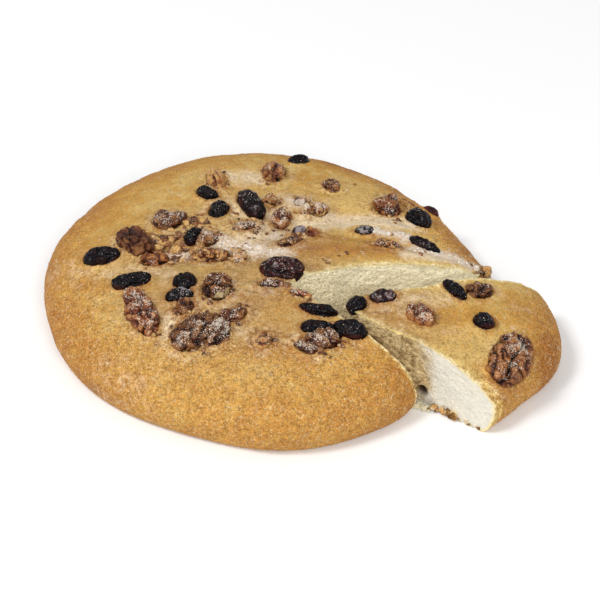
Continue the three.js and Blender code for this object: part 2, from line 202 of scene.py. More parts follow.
def smooth_step(low, high, values):
    share = np.clip((values - low) / (high - low), 0, 1)
    return share * share * (3 - 2 * share)


def skin_profile(rings):
    """For evenly spaced rings from crown to foot: share of the rim's radius, and angle round the foot"""
    share = np.sin(np.linspace(0, math.pi / 2, 800)) ** (2 / crown_fullness)
    turn = np.linspace(0, math.pi / 2, 200)[1:]
    across = np.concatenate([cake_radius * share, cake_radius - foot_inset * (1 - np.cos(turn))])
    up = np.concatenate([dome_height(share), belly_height * (1 - np.sin(turn))])
    path = np.concatenate([[0], np.cumsum(np.hypot(np.diff(across), np.diff(up)))])
    at = np.linspace(0, path[-1], rings + 1)[1:]
    shares = np.interp(at, path, np.concatenate([share, np.ones(len(turn))]))
    turns = np.interp(at, path, np.concatenate([np.zeros(len(share)), turn]))
    return shares, turns


def ring_faces(rings):
    """Triangles between rings that hold 6, 12, 18 and more points round one middle point"""
    faces = [(0, 1 + j, 1 + (j + 1) % 6) for j in range(6)]
    for k in range(1, rings):
        inner = 1 + 3 * k * (k - 1)
        outer = 1 + 3 * k * (k + 1)
        for side in range(6):
            for j in range(k + 1):
                a = outer + side * (k + 1) + j
                b = outer + (side * (k + 1) + j + 1) % (6 * (k + 1))
                c = inner + (side * k + j) % (6 * k)
                faces.append((a, b, c))
                if j < k:
                    faces.append((c, b, inner + (side * k + j + 1) % (6 * k)))
    return faces


def place_of(node):
    """Middle, long, wide and upright axes, and half sizes of a topping, in millimetres"""
    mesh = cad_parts[node].data
    points = np.array([vertex.co[:] for vertex in mesh.vertices]) / mm
    mesh.calc_loop_triangles()
    corners = points[np.array([triangle.vertices[:] for triangle in mesh.loop_triangles])]
    middles = corners.mean(1)
    areas = np.linalg.norm(np.cross(corners[:, 1] - corners[:, 0], corners[:, 2] - corners[:, 0]), axis=1)
    middle = (middles * areas[:, None]).sum(0) / areas.sum()
    spread = ((middles - middle).T * areas) @ (middles - middle)
    axes = np.linalg.eigh(spread)[1].T[::-1]
    upright = int(np.argmax(np.abs(axes[:, 2])))
    level = [axes[i] for i in range(3) if i != upright]
    axes = np.array(level + [axes[upright] * np.sign(axes[upright, 2])])
    reach = (points - middle) @ axes.T
    half = (reach.max(0) - reach.min(0)) / 2
    return middle + ((reach.max(0) + reach.min(0)) / 2) @ axes, axes, half


toppings = {name: place_of(name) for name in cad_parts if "raisin" in name or "walnut" in name}
round_seats = {name: place for name, place in toppings.items() if not name.startswith("slice")}


def pressed_in(points, seats):
    """Presses a pocket into the crust under every topping, and raises a low collar round it"""
    for middle, axes, half in seats.values():
        near = np.flatnonzero(np.abs(points - middle).max(1) < half[0] + collar_reach)
        local = (points[near] - middle) @ axes.T
        across = np.hypot(local[:, 0] / half[0], local[:, 1] / half[1])
        under = -half[2] * pocket_share * np.sqrt(np.maximum(0, 1 - across**2))
        away = np.maximum(0, across - 1) * math.sqrt(half[0] * half[1])
        collar = np.where(across < 1, 0, collar_rise * np.exp(-(((away - collar_out) / collar_width) ** 2)))
        lowered = np.where(across < 1, np.minimum(local[:, 2], under), local[:, 2] + collar)
        points[near] += (lowered - local[:, 2])[:, None] * axes[2]


def skin_points(swells, seats):
    """The crust from crown to foot, and the flat underside inside it, with its rings' faces"""
    rings = round((cake_radius + crown_height) / skin_step)
    points = [np.array([[0, 0, float(crust_height(np.zeros(1), np.zeros(1), swells)[0])]])]
    for k, (share, turn) in enumerate(zip(*skin_profile(rings)), 1):
        degrees = np.arange(6 * k) * 360 / (6 * k)
        radius = rim_radius(degrees, swells) * share - foot_inset * (1 - math.cos(turn))
        x = radius * np.cos(np.radians(degrees))
        y = radius * np.sin(np.radians(degrees))
        z = crust_height(x, y, swells) if turn == 0 else np.full_like(x, belly_height * (1 - math.sin(turn)))
        points.append(np.stack([x, y, z], 1))
    points = np.concatenate(points)
    outward = (points - np.array(relief_origin)) * (1, 1, relief_upward)
    outward /= np.linalg.norm(outward, axis=1)[:, None]
    relief = sum(rise * field(points, wavelength, seed) for wavelength, rise, seed in skin_relief)
    among_nuts = around(points, nut_middle, nut_reach)
    relief += among_nuts * (0.4 * field(points, 6.5, 9) - 0.75 * creases(points, 13, 10, (2.4, 1, 1), 0.12))
    relief += 0.5 * strength(points, drifts) * np.abs(field(points, 3.4, 19))
    points += outward * (relief * smooth_step(0, smooth_foot, points[:, 2]))[:, None]
    points[:, 2] = np.maximum(points[:, 2], 0)
    pressed_in(points, seats)
    faces = ring_faces(rings)
    around_foot = 6 * rings
    last = len(points) - around_foot
    under = [points[last:] * (scale, scale, 0) for scale in underside_rings]
    for outer in (last, last + around_foot):
        for i in range(around_foot):
            a = outer + i
            b = outer + (i + 1) % around_foot
            faces += [(a, a + around_foot, b), (b, a + around_foot, b + around_foot)]
    middle = last + 3 * around_foot
    inmost = middle - around_foot
    faces += [(middle, inmost + (i + 1) % around_foot, inmost + i) for i in range(around_foot)]
    return np.concatenate([points, *under, [[0, 0, 0]]]), faces


# The cut: where each face starts in plan, its heading, how far and where it bows towards the
# gap, how far its foot is spread towards the gap at the rim, and the seed of its torn crumb
notch_cut = {
    "near": dict(start=(9.9, -31.6), heading=-38.6, bow=0, bow_at=50, foot=2.5),
    "far": dict(start=(18.2, -23.4), heading=14.8, bow=4.5, bow_at=71, foot=4),
    "seed": 21,
}
bow_width = 27
rim_reach = 85
cut_reach = 136
cut_low = -1.0
cut_high = 46.0
cut_step = 0.72
crumb_depth = 1.1
foot_height = 22


def torn_crumb(along, z, seed):
    """Depth of the crumb's hollows: wide tears, and pores drawn out along the dough"""
    flat = np.stack([along, z * 1.25, np.full_like(z, seed * 3.7)], 1)
    tears = crumb_depth * (0.5 + 0.5 * np.tanh(1.2 * field(flat, 17, 5) + 0.3 * field(flat, 7, 6)))
    torn = 0.1 * np.abs(field(flat, 4.2, 7, (1.6, 1, 1))) + 0.08 * field(flat, 1.8, 8)
    pores = np.zeros(len(flat))
    for size, depth, seed_shift in ((5.2, 0.5, 0), (2.6, 0.3, 40)):
        spread = flat / (size * 1.5, size, size) + seed_shift
        away = np.array([noise.voronoi(point)[0][0] for point in spread.tolist()])
        pores += depth * smooth_step(0.42, 0.08, away)
    return tears + torn + pores


def cut_face(face, turn):
    """Plan of one cut face from the tip outward: points, direction to the gap, bow and foot spread"""
    heading = math.radians(face["heading"])
    reach = np.arange(0, cut_reach, cut_step)
    points = face["start"] + reach[:, None] * [math.cos(heading), math.sin(heading)]
    toward = np.tile([math.cos(heading + turn), math.sin(heading + turn)], (len(reach), 1))
    bow = face["bow"] * np.exp(-(((reach - face["bow_at"]) / bow_width) ** 2))
    return points, toward, bow, face["foot"] * reach / rim_reach


def cut_wedge(cut, side):
    """The wedge between two cut faces: side 1 is taken out of the round, -1 is kept as the slice"""
    near = cut_face(cut["near"], math.pi / 2)
    far = cut_face(cut["far"], -math.pi / 2)
    share = np.linspace(0, 1, 2 + int(math.dist(near[0][0], far[0][0]) / cut_step))[1:-1, None]
    blunt_tip = [near[i][0] * (1 - share) + far[i][0] * share for i in range(2)]
    blunt_tip += [np.zeros(len(share)), np.zeros(len(share))]
    points, toward, bow, spread = (np.concatenate([near[i][::-1], blunt_tip[i], far[i]]) for i in range(4))
    path = np.concatenate([[0], np.cumsum(np.hypot(*np.diff(points, axis=0).T))])
    heights = np.arange(cut_low, cut_high, cut_step)
    count = len(points)
    i = np.tile(np.arange(count), len(heights))
    z = np.repeat(heights, count)
    spread_foot = spread[i] * np.maximum(0, 1 - z / foot_height) ** 2
    inward = torn_crumb(path[i], z, cut["seed"])
    if "pit" in cut:
        pit = cut["pit"]
        reach = np.hypot(*(points[i] - near[0][0]).T)
        away = np.hypot(reach - pit["reach"], z - pit["height"]) / pit["size"]
        inward += pit["depth"] * smooth_step(1.2, 0.4, away) * (toward[i] @ near[1][0] > 0.99)
    shift = side * (bow[i] + spread_foot - inward)
    walls = np.column_stack([points[i] + shift[:, None] * toward[i], z])
    faces = []
    top = (len(heights) - 1) * count
    for row in range(0, top, count):
        for a in range(count):
            b = (a + 1) % count
            faces.append((row + a, row + count + a, row + count + b, row + b))
    middle = walls[:count, :2].mean(0)
    for a in range(count):
        b = (a + 1) % count
        faces += [(len(walls), a, b), (len(walls) + 1, top + b, top + a)]
    return np.concatenate([walls, [[*middle, cut_low], [*middle, heights[-1]]]]), faces


def add_mesh(name, points, faces):
    """A piece from points in millimetres"""
    mesh = bpy.data.meshes.new(name)
    mesh.from_pydata((np.asarray(points) * mm).tolist(), [], faces)
    return add_object(name, mesh)


def as_mesh(piece):
    """The piece with its modifiers worked out, as a plain mesh"""
    graph = bpy.context.evaluated_depsgraph_get()
    ready = piece.evaluated_get(graph)
    return bpy.data.meshes.new_from_object(ready, preserve_all_data_layers=True, depsgraph=graph)


class Wire:
    """A socket of a finish, so that an expression on it adds its Math nodes"""

    def __init__(self, finish, socket):
        self.finish = finish
        self.socket = socket

    def __add__(self, other):
        return self.finish.math("ADD", self, other)

    def __sub__(self, other):
        return self.finish.math("SUBTRACT", self, other)

    def __rsub__(self, other):
        return self.finish.math("SUBTRACT", other, self)

    def __mul__(self, other):
        return self.finish.math("MULTIPLY", self, other)

    __radd__ = __add__
    __rmul__ = __mul__

    @property
    def centred(self):
        """Noise from 0 to 1 brought to lie about 0"""
        return self - 0.5

    def stepped(self, low, high):
        """0 below low, 1 above high, and smooth between"""
        limits = {"Value": self, "From Min": low, "From Max": high}
        return self.finish.node("ShaderNodeMapRange", {"interpolation_type": "SMOOTHSTEP"}, limits)


def linear(red, green, blue):
    """A colour as the eye reads it, 0 to 255, in linear light"""
    return tuple(((part / 255 + 0.055) / 1.055) ** 2.4 for part in (red, green, blue)) + (1,)


class Finish:
    """A material, whose colour is laid on coat by coat"""

    def __init__(self, name, first_coat, **constants):
        self.material = bpy.data.materials.new(name)
        self.material.use_nodes = True
        self.tree = self.material.node_tree
        self.tree.nodes.clear()
        self.surface = self.tree.nodes.new("ShaderNodeBsdfPrincipled")
        output = self.tree.nodes.new("ShaderNodeOutputMaterial")
        self.tree.links.new(self.surface.outputs[0], output.inputs[0])
        for socket, value in constants.items():
            self.surface.inputs[socket.replace("_", " ")].default_value = value
        self.place = self.node("ShaderNodeTexCoord", output="Object")
        self.color = first_coat

    def node(self, kind, settings=None, values=None, output=0):
        made = self.tree.nodes.new(kind)
        for name, value in (settings or {}).items():
            setattr(made, name, value)
        for name, value in (values or {}).items():
            if isinstance(name, int):
                socket = made.inputs[name]
            else:
                socket = next(each for each in made.inputs if name in (each.identifier, each.name))
            if isinstance(value, Wire):
                self.tree.links.new(value.socket, socket)
            else:
                socket.default_value = value
        return Wire(self, made.outputs[output])

    def math(self, operation, *values):
        return self.node("ShaderNodeMath", {"operation": operation}, dict(enumerate(values)))

    def vector(self, operation, first, second):
        return self.node("ShaderNodeVectorMath", {"operation": operation}, {0: first, 1: second})

    def scaled(self, vector, share):
        return self.node("ShaderNodeVectorMath", {"operation": "SCALE"}, {0: vector, "Scale": share})

    def attribute(self, name):
        """A number kept on the piece's points"""
        return self.node("ShaderNodeAttribute", {"attribute_name": name}, output="Fac")

    def clouds(self, size, detail=3, place=None):
        """Noise from 0 to 1 with features about a size in millimetres"""
        values = {"Vector": place or self.place, "Scale": 1 / (size * mm), "Detail": detail}
        return self.node("ShaderNodeTexNoise", {}, values)

    def cells(self, size, output="Distance", place=None):
        """How far each place is from the middle of its cell, or the cell's random colour"""
        values = {"Vector": place or self.place, "Scale": 1 / (size * mm)}
        return self.node("ShaderNodeTexVoronoi", {}, values, output)

    def kinds(self, size, place=None):
        """One random value from 0 to 1 for each cell"""
        colors = self.cells(size, "Color", place)
        return self.node("ShaderNodeSeparateColor", {}, {"Color": colors}, output="Red")

    def threads(self, size, width, place=None):
        """1 along thin winding lines, and 0 between them"""
        level = self.clouds(size, 2, place).centred
        return 1 - self.math("ABSOLUTE", level).stepped(0, width)

    def warped(self, size, amount):
        """Places shifted by clouds of a size, by an amount in millimetres"""
        values = {"Vector": self.place, "Scale": 1 / (size * mm)}
        shift = self.node("ShaderNodeTexNoise", {}, values, output="Color")
        shift = self.scaled(self.vector("SUBTRACT", shift, (0.5, 0.5, 0.5)), amount * mm)
        return self.vector("ADD", self.place, shift)

    def mix(self, share, first, second):
        values = {"Factor_Float": share, "A_Color": first, "B_Color": second}
        return self.node("ShaderNodeMix", {"data_type": "RGBA"}, values, output=2)

    def coat(self, share, color):
        """Lays a colour over the coats before it, by a share"""
        self.color = self.mix(share, self.color, color)

    def shade(self, share):
        """Makes the coats so far lighter or darker by a share"""
        self.color = self.scaled(self.color, share)

    def wear(self, roughness=None, height=None, depth=0.3):
        """Links what varies over the surface"""
        self.tree.links.new(self.color.socket, self.surface.inputs["Base Color"])
        if roughness is not None:
            self.tree.links.new(roughness.socket, self.surface.inputs["Roughness"])
        if height is not None:
            values = {"Height": height, "Distance": depth * mm, "Strength": 1.0}
            bump = self.node("ShaderNodeBump", {}, values)
            self.tree.links.new(bump.socket, self.surface.inputs["Normal"])


# Sugared crust: pale gold on the crown, browner towards the rim and on the swells, cream in the
# folds, orange where a raisin or a nut has stained it, with grains of sugar melted into it. Its
# browning also holds painted shade along the far rim and painted light at the front foot, and it
# is darkened among the toppings by stain and painted shade
pale_gold = linear(210, 175, 106)
gold = linear(196, 148, 71)
deep_gold = linear(185, 131, 60)
brown = linear(152, 93, 36)
edge_gold = linear(230, 202, 126)
edge_cream = linear(244, 226, 184)
nut_stain_and_shade = linear(158, 120, 80)
pale_dough = linear(230, 208, 172)
orange_stain = linear(142, 82, 34)
syrup = linear(226, 184, 116)
melted_sugar = linear(236, 214, 170)
burnt_sugar = linear(154, 100, 42)
nut_skin_dust = linear(132, 86, 48)
nut_flesh_dust = linear(222, 202, 168)
sugar_haze = linear(194, 173, 148)
white_haze = linear(232, 222, 210)
haze_gap = linear(176, 138, 96)
haze_grain = linear(246, 240, 230)
crust = Finish("sugared_crust", pale_gold, Specular_IOR_Level=0.15)
patches = crust.clouds(30)
mottle = crust.clouds(6, 4)
blotches = crust.clouds(2.6, 4)
sand = crust.clouds(1.2, 4)
fine_sand = crust.clouds(0.6, 2)
# Browning, with painted shade along the far rim and painted light at the front foot
browned = crust.attribute("browned") + patches.centred * 1.5 + mottle.centred * 1.4 + blotches.centred * 1.1
crust.coat(browned.stepped(-0.15, 0.4), gold)
crust.coat(browned.stepped(0.35, 0.85), deep_gold)
crust.coat(browned.stepped(0.8, 1.5), brown)
by_cut = crust.attribute("by_cut") + blotches.centred * 0.9
crust.coat(by_cut.stepped(0.25, 0.8) * 0.8, edge_gold)
crust.coat((by_cut + sand.centred * 0.8).stepped(0.75, 1.0) * 0.75, edge_cream)
# Stain from the nuts, and painted shade, among the toppings
crust.coat(crust.attribute("among") * 0.6, nut_stain_and_shade)
pale = crust.attribute("pale") + mottle.centred * 0.9 + patches.centred * 0.5 + blotches.centred * 0.6
crust.coat(pale.stepped(0.15, 0.95), pale_dough)
stained = crust.attribute("stain") + crust.clouds(3, 4).centred * 1.2
crust.coat(stained.stepped(0.35, 1.1) * 0.75, orange_stain)
speck = crust.kinds(0.9)
grainy = crust.attribute("grainy")
crust.coat(crust.threads(1.7, 0.06) * (0.04 + 0.3 * grainy), syrup)
crust.coat(speck.stepped(0.8, 0.95) * (0.08 + 0.24 * grainy), melted_sugar)
grit = sand.centred + blotches.centred + 0.8 * fine_sand.centred
crust.shade(0.92 + (0.55 + 0.45 * grainy) * grit)
crust.coat((grit * -3.4).stepped(0, 1) * (0.16 + 0.44 * grainy), burnt_sugar)
fleck = crust.kinds(1.3, crust.warped(1.6, 0.9))
flecked = (crust.clouds(4).centred * 0.5 + crust.attribute("littered")).stepped(0.2, 0.9)
crust.coat(fleck.stepped(0.7, 0.8) * flecked * 0.5, nut_skin_dust)
crust.coat((1 - fleck.stepped(0.15, 0.3)) * flecked * 0.22, nut_flesh_dust)
drifted = crust.attribute("drift")
ragged = crust.clouds(3.2, 5).centred * 1.5 + sand.centred * 1.3
hazy = drifted * 1.1 + ragged * drifted.stepped(0.02, 0.3)
crust.coat(hazy.stepped(0.25, 0.95) * 0.85, sugar_haze)
crust.coat(hazy.stepped(0.75, 1.25) * 0.7, white_haze)
thick = drifted.stepped(0.35, 0.85)
crust.coat((1 - crust.clouds(1.9).stepped(0.34, 0.46)) * thick * 0.5, haze_gap)
crust.coat(crust.clouds(1.4).stepped(0.52, 0.62) * thick * 0.5, haze_grain)
grain_height = (1 - crust.cells(0.9).stepped(0.1, 0.6)) * speck.stepped(0.5, 0.8)
height = grain_height * (0.3 + 0.5 * grainy) + sand * 1.1 + blotches * 1.2 + mottle * 0.6
crust.wear(0.5 + 0.35 * sand, height, 0.4)

# Crumb: cream, with small open pores painted dark as painted shade, greyer and browner where it
# is torn open and as painted shade deep in the gap, low on the round's face and in its hollows,
# yellow where it meets the crust. The round's cut faces are painted lighter and warmer, as painted light
cream = linear(218, 213, 200)
painted_light_cream = linear(255, 243, 207)
open_tan = linear(194, 168, 122)
open_painted_shade = linear(132, 106, 66)
pore_painted_shade = linear(150, 126, 82)
deep_pore_painted_shade = linear(104, 80, 44)
curl_cream = linear(236, 224, 188)
pit_painted_shade = linear(44, 26, 12)
yellow_line = linear(238, 214, 138)
crumb = Finish("crumb", cream, Roughness=0.85, Specular_IOR_Level=0.1)
squashed = crumb.vector("MULTIPLY", crumb.place, (1, 1, 1.25))
pores = crumb.cells(1.5, place=squashed)
pore_kind = crumb.kinds(1.5, squashed)
soft_tears = crumb.clouds(7, 3, squashed)
tears = crumb.clouds(2.6, 4, squashed)
fluff = crumb.clouds(0.9, 3, squashed)
# Painted light: the round's cut faces are painted a lighter, warmer cream than the slice's
crumb.coat((crumb.attribute("warm") + crumb.clouds(9).centred * 0.8).stepped(0, 1), painted_light_cream)
torn_and_shaded = crumb.attribute("open_crumb")
crumb.coat((torn_and_shaded + soft_tears.centred * 0.5).stepped(0.1, 0.9), open_tan)
# Painted shade in the hollows of the torn crumb
hollows = (torn_and_shaded * 1.2 - 0.1) * (1 - (soft_tears * 0.5 + tears * 0.5).stepped(0.36, 0.6))
crumb.coat(hollows.stepped(0, 1.2) * 0.85, open_painted_shade)
porous = crumb.attribute("porous")
crumb.shade(1 + fluff.centred * (0.15 + 2.2 * porous) + tears.centred * (0.2 + 0.7 * porous))
# Painted shade in the pores
pore_shade_share = (1 - pores.stepped(0.1, 0.36)) * pore_kind.stepped(0.55 - 0.2 * torn_and_shaded, 0.8)
crumb.coat(pore_shade_share * (0.05 + 0.6 * porous), pore_painted_shade)
painted_dark_pores = crumb.clouds(1.0, 2, squashed).stepped(0.57, 0.66) * crumb.clouds(5, 2).stepped(0.3, 0.55)
crumb.coat(painted_dark_pores * porous * 0.6, deep_pore_painted_shade)
curls = crumb.threads(1.4, 0.05, squashed)
crumb.coat(curls * (0.55 * porous * tears.stepped(0.42, 0.6)), curl_cream)
# Painted shade: the pit is painted near black
crumb.coat(crumb.attribute("pit") * 0.95, pit_painted_shade)
under = crumb.attribute("under_crust") + crumb.clouds(4).centred * 2.4
crumb.coat((1 - under.stepped(0.2, 1.7)) * 0.8, yellow_line)
crumb.coat(1 - under.stepped(-0.5, 0.5), gold)
crumb.wear(None, pores.stepped(0, 0.5) * 0.7 + fluff * 0.7 + tears * (0.6 + 1.2 * porous), 0.35)

# Underside: baked brown and flat on the tray
tray_gold = linear(196, 146, 84)
tray_brown = linear(150, 98, 52)
tray_flour = linear(228, 200, 150)
underside = Finish("underside", tray_gold, Roughness=0.8)
scorch = underside.clouds(14, 4)
underside.coat(scorch.stepped(0.35, 0.7), tray_brown)
underside.coat(underside.clouds(1.2).stepped(0.55, 0.75) * 0.5, tray_flour)
underside.wear(None, scorch + underside.clouds(1.2), 0.3)

finishes = [crust.material, crumb.material, underside.material]
crust_slot, crumb_slot, underside_slot = range(3)


def cut_dough(name, swells, seats, cut, operation):
    """The whole loaf's crust with the wedge taken out of it, or only the wedge kept"""
    points, faces = skin_points(swells, seats)
    loaf = add_mesh(name, points, faces)
    wedge = add_mesh("wedge", *cut_wedge(cut, 1 if operation == "DIFFERENCE" else -1))
    for part, slot in ((loaf, crust_slot), (wedge, crumb_slot)):
        for finish in finishes:
            part.data.materials.append(finish)
        part.data.polygons.foreach_set("material_index", [slot] * len(part.data.polygons))
    knife = loaf.modifiers.new("knife", "BOOLEAN")
    knife.operation = operation
    knife.solver = "MANIFOLD"
    knife.object = wedge
    cut_mesh = as_mesh(loaf)
    loaf.modifiers.remove(knife)
    loaf.data = cut_mesh
    bpy.data.objects.remove(wedge)
    return loaf, points


def points_of(mesh):
    flat = np.empty(len(mesh.vertices) * 3)
    mesh.vertices.foreach_get("co", flat)
    return flat.reshape(-1, 3) / mm


def keep_values(mesh, **values):
    """Stores one number a point for the finish to read"""
    for name, numbers in values.items():
        layer = mesh.attributes.new(name, "FLOAT", "POINT")
        layer.data.foreach_set("value", np.asarray(numbers, np.float32))


def nearest(points):
    """A tree that finds the nearest of some points"""
    tree = kdtree.KDTree(len(points))
    for i, point in enumerate(points.tolist()):
        tree.insert(point, i)
    tree.balance()
    return tree


# Crust that lies wholly below this height is the underside
flat_height = 0.02


def sort_faces(mesh, points):
    """Which points lie on the crust and which on a cut face. Flat crust becomes the underside"""
    on_crust = np.zeros(len(points), bool)
    on_cut = np.zeros(len(points), bool)
    for polygon in mesh.polygons:
        corners = list(polygon.vertices)
        if polygon.material_index == crumb_slot:
            on_cut[corners] = True
        elif points[corners, 2].max() < flat_height:
            polygon.material_index = underside_slot
        else:
            on_crust[corners] = True
    return on_crust, on_cut


def sharp_cut_edges(mesh):
    """Keeps the edge between the crust and a cut face crisp"""
    beside = {}
    for polygon in mesh.polygons:
        for key in polygon.edge_keys:
            beside.setdefault(key, []).append(polygon.material_index)
    sharp = [len(set(beside.get(edge.key, ()))) > 1 for edge in mesh.edges]
    layer = mesh.attributes.new("sharp_edge", "BOOLEAN", "EDGE")
    layer.data.foreach_set("value", sharp)


# Round a topping: how far out its stain starts to fade, over what width, and how far past its
# half height it reaches. Then how far its crumbs lie out and down, and how thin a nut sheds none
stain_out = 0.9
stain_width = 2.1
stain_height = 4
litter_width = 7
litter_below = 12
thin_nut = 1.5


def near_toppings(points, seats):
    """How far the toppings stain the crust round them, and how far nuts litter it with crumbs"""
    stain = np.zeros(len(points))
    littered = np.zeros(len(points))
    for name, (middle, axes, half) in seats.items():
        local = (points - middle) @ axes.T
        away = (np.hypot(local[:, 0] / half[0], local[:, 1] / half[1]) - 1) * math.sqrt(half[0] * half[1])
        near = np.exp(-((np.maximum(away - stain_out, 0) / stain_width) ** 2))
        near = near * (np.abs(local[:, 2]) < half[2] + stain_height)
        side = 0.75 + 0.35 * field((points - middle) * 0.5 + middle * 3, 6, 13)
        stain = np.maximum(stain, near * side)
        if "walnut" in name and half[2] > thin_nut:
            crumbs = np.exp(-((np.maximum(away, 0) / litter_width) ** 2)) * (local[:, 2] > -litter_below)
            littered = np.maximum(littered, crumbs)
    return stain, littered


# Where the wedge's tip lay, and how wide the pale edge of the crust is along a cut
cut_tip = (14, -33)
edge_width = 2.2


def finish_dough(piece, skin, swells, seats, look, own_values):
    """Keeps what each point of the dough is like, for its finish and its sugar"""
    mesh = piece.data
    points = points_of(mesh)
    x, y, z = points.T
    on_crust, on_cut = sort_faces(mesh, points)
    skin_tree = nearest(skin)
    cut_tree = nearest(points[on_cut])
    under = np.zeros(len(points))
    by_cut = np.zeros(len(points))
    for i in np.flatnonzero(on_cut):
        under[i] = skin_tree.find(points[i])[2]
    for i in np.flatnonzero(on_crust):
        by_cut[i] = math.exp(-((cut_tree.find(points[i])[2] / edge_width) ** 2))
    share = rim_share(x, y, swells)
    browned = 0.62 * smooth_step(look["brown_from"], 1.0, share) + strength(points, brown_and_shade_lines)
    # Less browned at the front foot, in part as painted light against its shade, and browner along the far
    # rim as painted shade where it turns away
    browned = browned + 0.12 * smooth_step(-10, -70, y) - 0.42 * smooth_step(-75, -108, y)
    browned += 0.7 * smooth_step(0.94, 1.0, share) * smooth_step(20, 80, y)
    stain, littered = near_toppings(points, seats)
    stain = np.maximum(stain, strength(points, look["stained"]) * (0.75 + 0.6 * field(points, 5, 18)))
    pale = strength(points, look["pale"])
    pale = np.maximum(pale, 0.5 * littered * smooth_step(-0.3, 0.4, field(points, 9, 16)))
    grainy = smooth_step(-0.5, 0.5, field(points, 40, 11) + 1.2 * (share - 0.6) - 0.012 * y)
    grainy *= 0.35 + 0.65 * smooth_step(0.0, 0.18, share - look["grainy_from"])
    drift = strength(points, look["drifts"])
    on_top = on_crust & ~on_cut & (z > 0.5)
    values = dict(
        browned=browned,
        by_cut=by_cut,
        pale=pale * (1 - 0.5 * stain),
        drift=drift,
        grainy=grainy,
        stain=stain,
        littered=littered * look["litter"],
        warm=np.full(len(points), look["warm"]),
        under_crust=under,
        sugar=np.where(on_top, np.clip(0.1 + 0.5 * grainy**2 + 0.3 * drift, 0, 1.4), 0),
        loose=np.where(on_top, smooth_step(0.25, 0.9, drift + 0.5 * field(points, 3, 14)), 0),
    )
    reach = np.hypot(x - cut_tip[0], y - cut_tip[1])
    values.update(own_values(points, reach, values))
    keep_values(mesh, **values)
    mesh.shade_smooth()
    sharp_cut_edges(mesh)


# The round's look: its plan lines, where from crown to rim it browns and turns grainy, how much
# of the nuts' crumbs it shows, and how much lighter and warmer its crumb is painted, as painted light
round_look = dict(
    pale=pale_lines + far_lip,
    drifts=drifts,
    stained=(((-54, 10), (-36, -1), 10, 0.95),),
    brown_from=0.72,
    grainy_from=0.55,
    litter=1.0,
    warm=1.0,
)


# Where fruit and nuts lie thick on it, its crust stained and given painted shade: middle and reach in plan
thick_middle = (-12, -20)
thick_reach = 62


def round_values(points, reach, values):
    """Sound crumb, greyer and darker low down as painted shade, and a crust stained and darkened with
    painted shade where fruit and nuts lie thick
    """
    z = points[:, 2]
    # Stain and painted shade where fruit and nuts lie thick; it also deepens the orange stain there
    among = around(points, thick_middle, thick_reach) * (0.85 + 0.3 * field(points, 14, 15))
    return dict(
        among=among,
        stain=np.maximum(values["stain"], 0.55 * among),
        # Painted shade low on the round's cut face
        open_crumb=0.5 * smooth_step(26, 8, z),
        # More crumb contrast and painted pore shade near the tip and low down
        porous=0.42 + 0.3 * smooth_step(62, 18, reach) + 0.35 * smooth_step(22, 8, z),
        pit=np.zeros(len(points)),
    )


round_dough, round_skin = cut_dough("round_dough", round_swells, round_seats, notch_cut, "DIFFERENCE")
finish_dough(round_dough, round_skin, round_swells, round_seats, round_look, round_values)
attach(round_dough, "root")
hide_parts("cake_round")

# The slice: the wedge of the same loaf, its crumb torn open along the inner half of its near
# side, standing a little out of the round

slice_swells = ((-33, 8, -4.2), (-45, 9, -3.5))
slice_cut = {
    "near": dict(start=(13.7, -33), heading=-37, bow=-3, bow_at=34, foot=2.5),
    "far": dict(start=(19.4, -20.2), heading=14, bow=0, bow_at=50, foot=2),
    "seed": 23,
    "pit": dict(reach=36.5, height=6.5, size=2.7, depth=3.5),
}
slice_look = dict(
    pale=pale_lines,
    drifts=(((29, -30), (46, -23), 5, 0.3), ((46, -22), (60, -22), 3, 0.25)),
    stained=(),
    brown_from=0.8,
    grainy_from=0.8,
    litter=0.3,
    warm=0.15,
)

# The pale rim of crust above its near face, and how far from the tip its crumb is torn open
near_rim = (((37.8, -47.6), (85.8, -83.6), 4.5, 0.66),)
torn_reach = 35

# Where it stands: its turn about the tip of the cut, and its travel
slice_turn = math.radians(5)
slice_pivot = np.array([9.9, -31.7, 0])
slice_travel = np.array([27, -22, 0])


def upright_turn(angle):
    """The matrix of a turn about the upright"""
    along, across = math.cos(angle), math.sin(angle)
    return np.array([[along, -across, 0], [across, along, 0], [0, 0, 1]])


turn_matrix = upright_turn(slice_turn)


def drawn_out(points):
    """From a slice's place in the round to where it stands"""
    return (points - slice_pivot) @ turn_matrix.T + slice_pivot + slice_travel


def pushed_back(points):
    return (points - slice_pivot - slice_travel) @ turn_matrix + slice_pivot


def slice_values(points, reach, values):
    """Crumb torn open near the tip and further along the foot, with painted shade deep in the gap by the
    tip, a pit low in it painted dark as painted shade, and painted shade on the crust near the tip
    """
    z = points[:, 2]
    open_edge = torn_reach + 0.25 * (crown_height - z) + 3 * field(points, 9, 12)
    open_edge -= 8 * smooth_step(9, 4, z)
    pit = slice_cut["pit"]
    from_pit = np.hypot((reach - pit["reach"]) / pit["size"], (z - pit["height"]) / pit["size"])
    return dict(
        # Painted shade on the slice's crust near its tip
        among=0.8 * smooth_step(50, 25, reach),
        by_cut=np.maximum(values["by_cut"], strength(points, near_rim)),
        under_crust=values["under_crust"] + 2.5 * smooth_step(9, 5, z) * smooth_step(52, 44, reach),
        # Torn crumb, and painted shade deep in the gap by the tip
        open_crumb=smooth_step(10, -10, reach - open_edge) + 0.5 * smooth_step(24, 8, reach),
        porous=0.8 * smooth_step(10, -8, reach - open_edge),
        pit=smooth_step(1.25, 0.6, from_pit),
    )


def move_points(mesh, points):
    mesh.vertices.foreach_set("co", (points * mm).ravel())


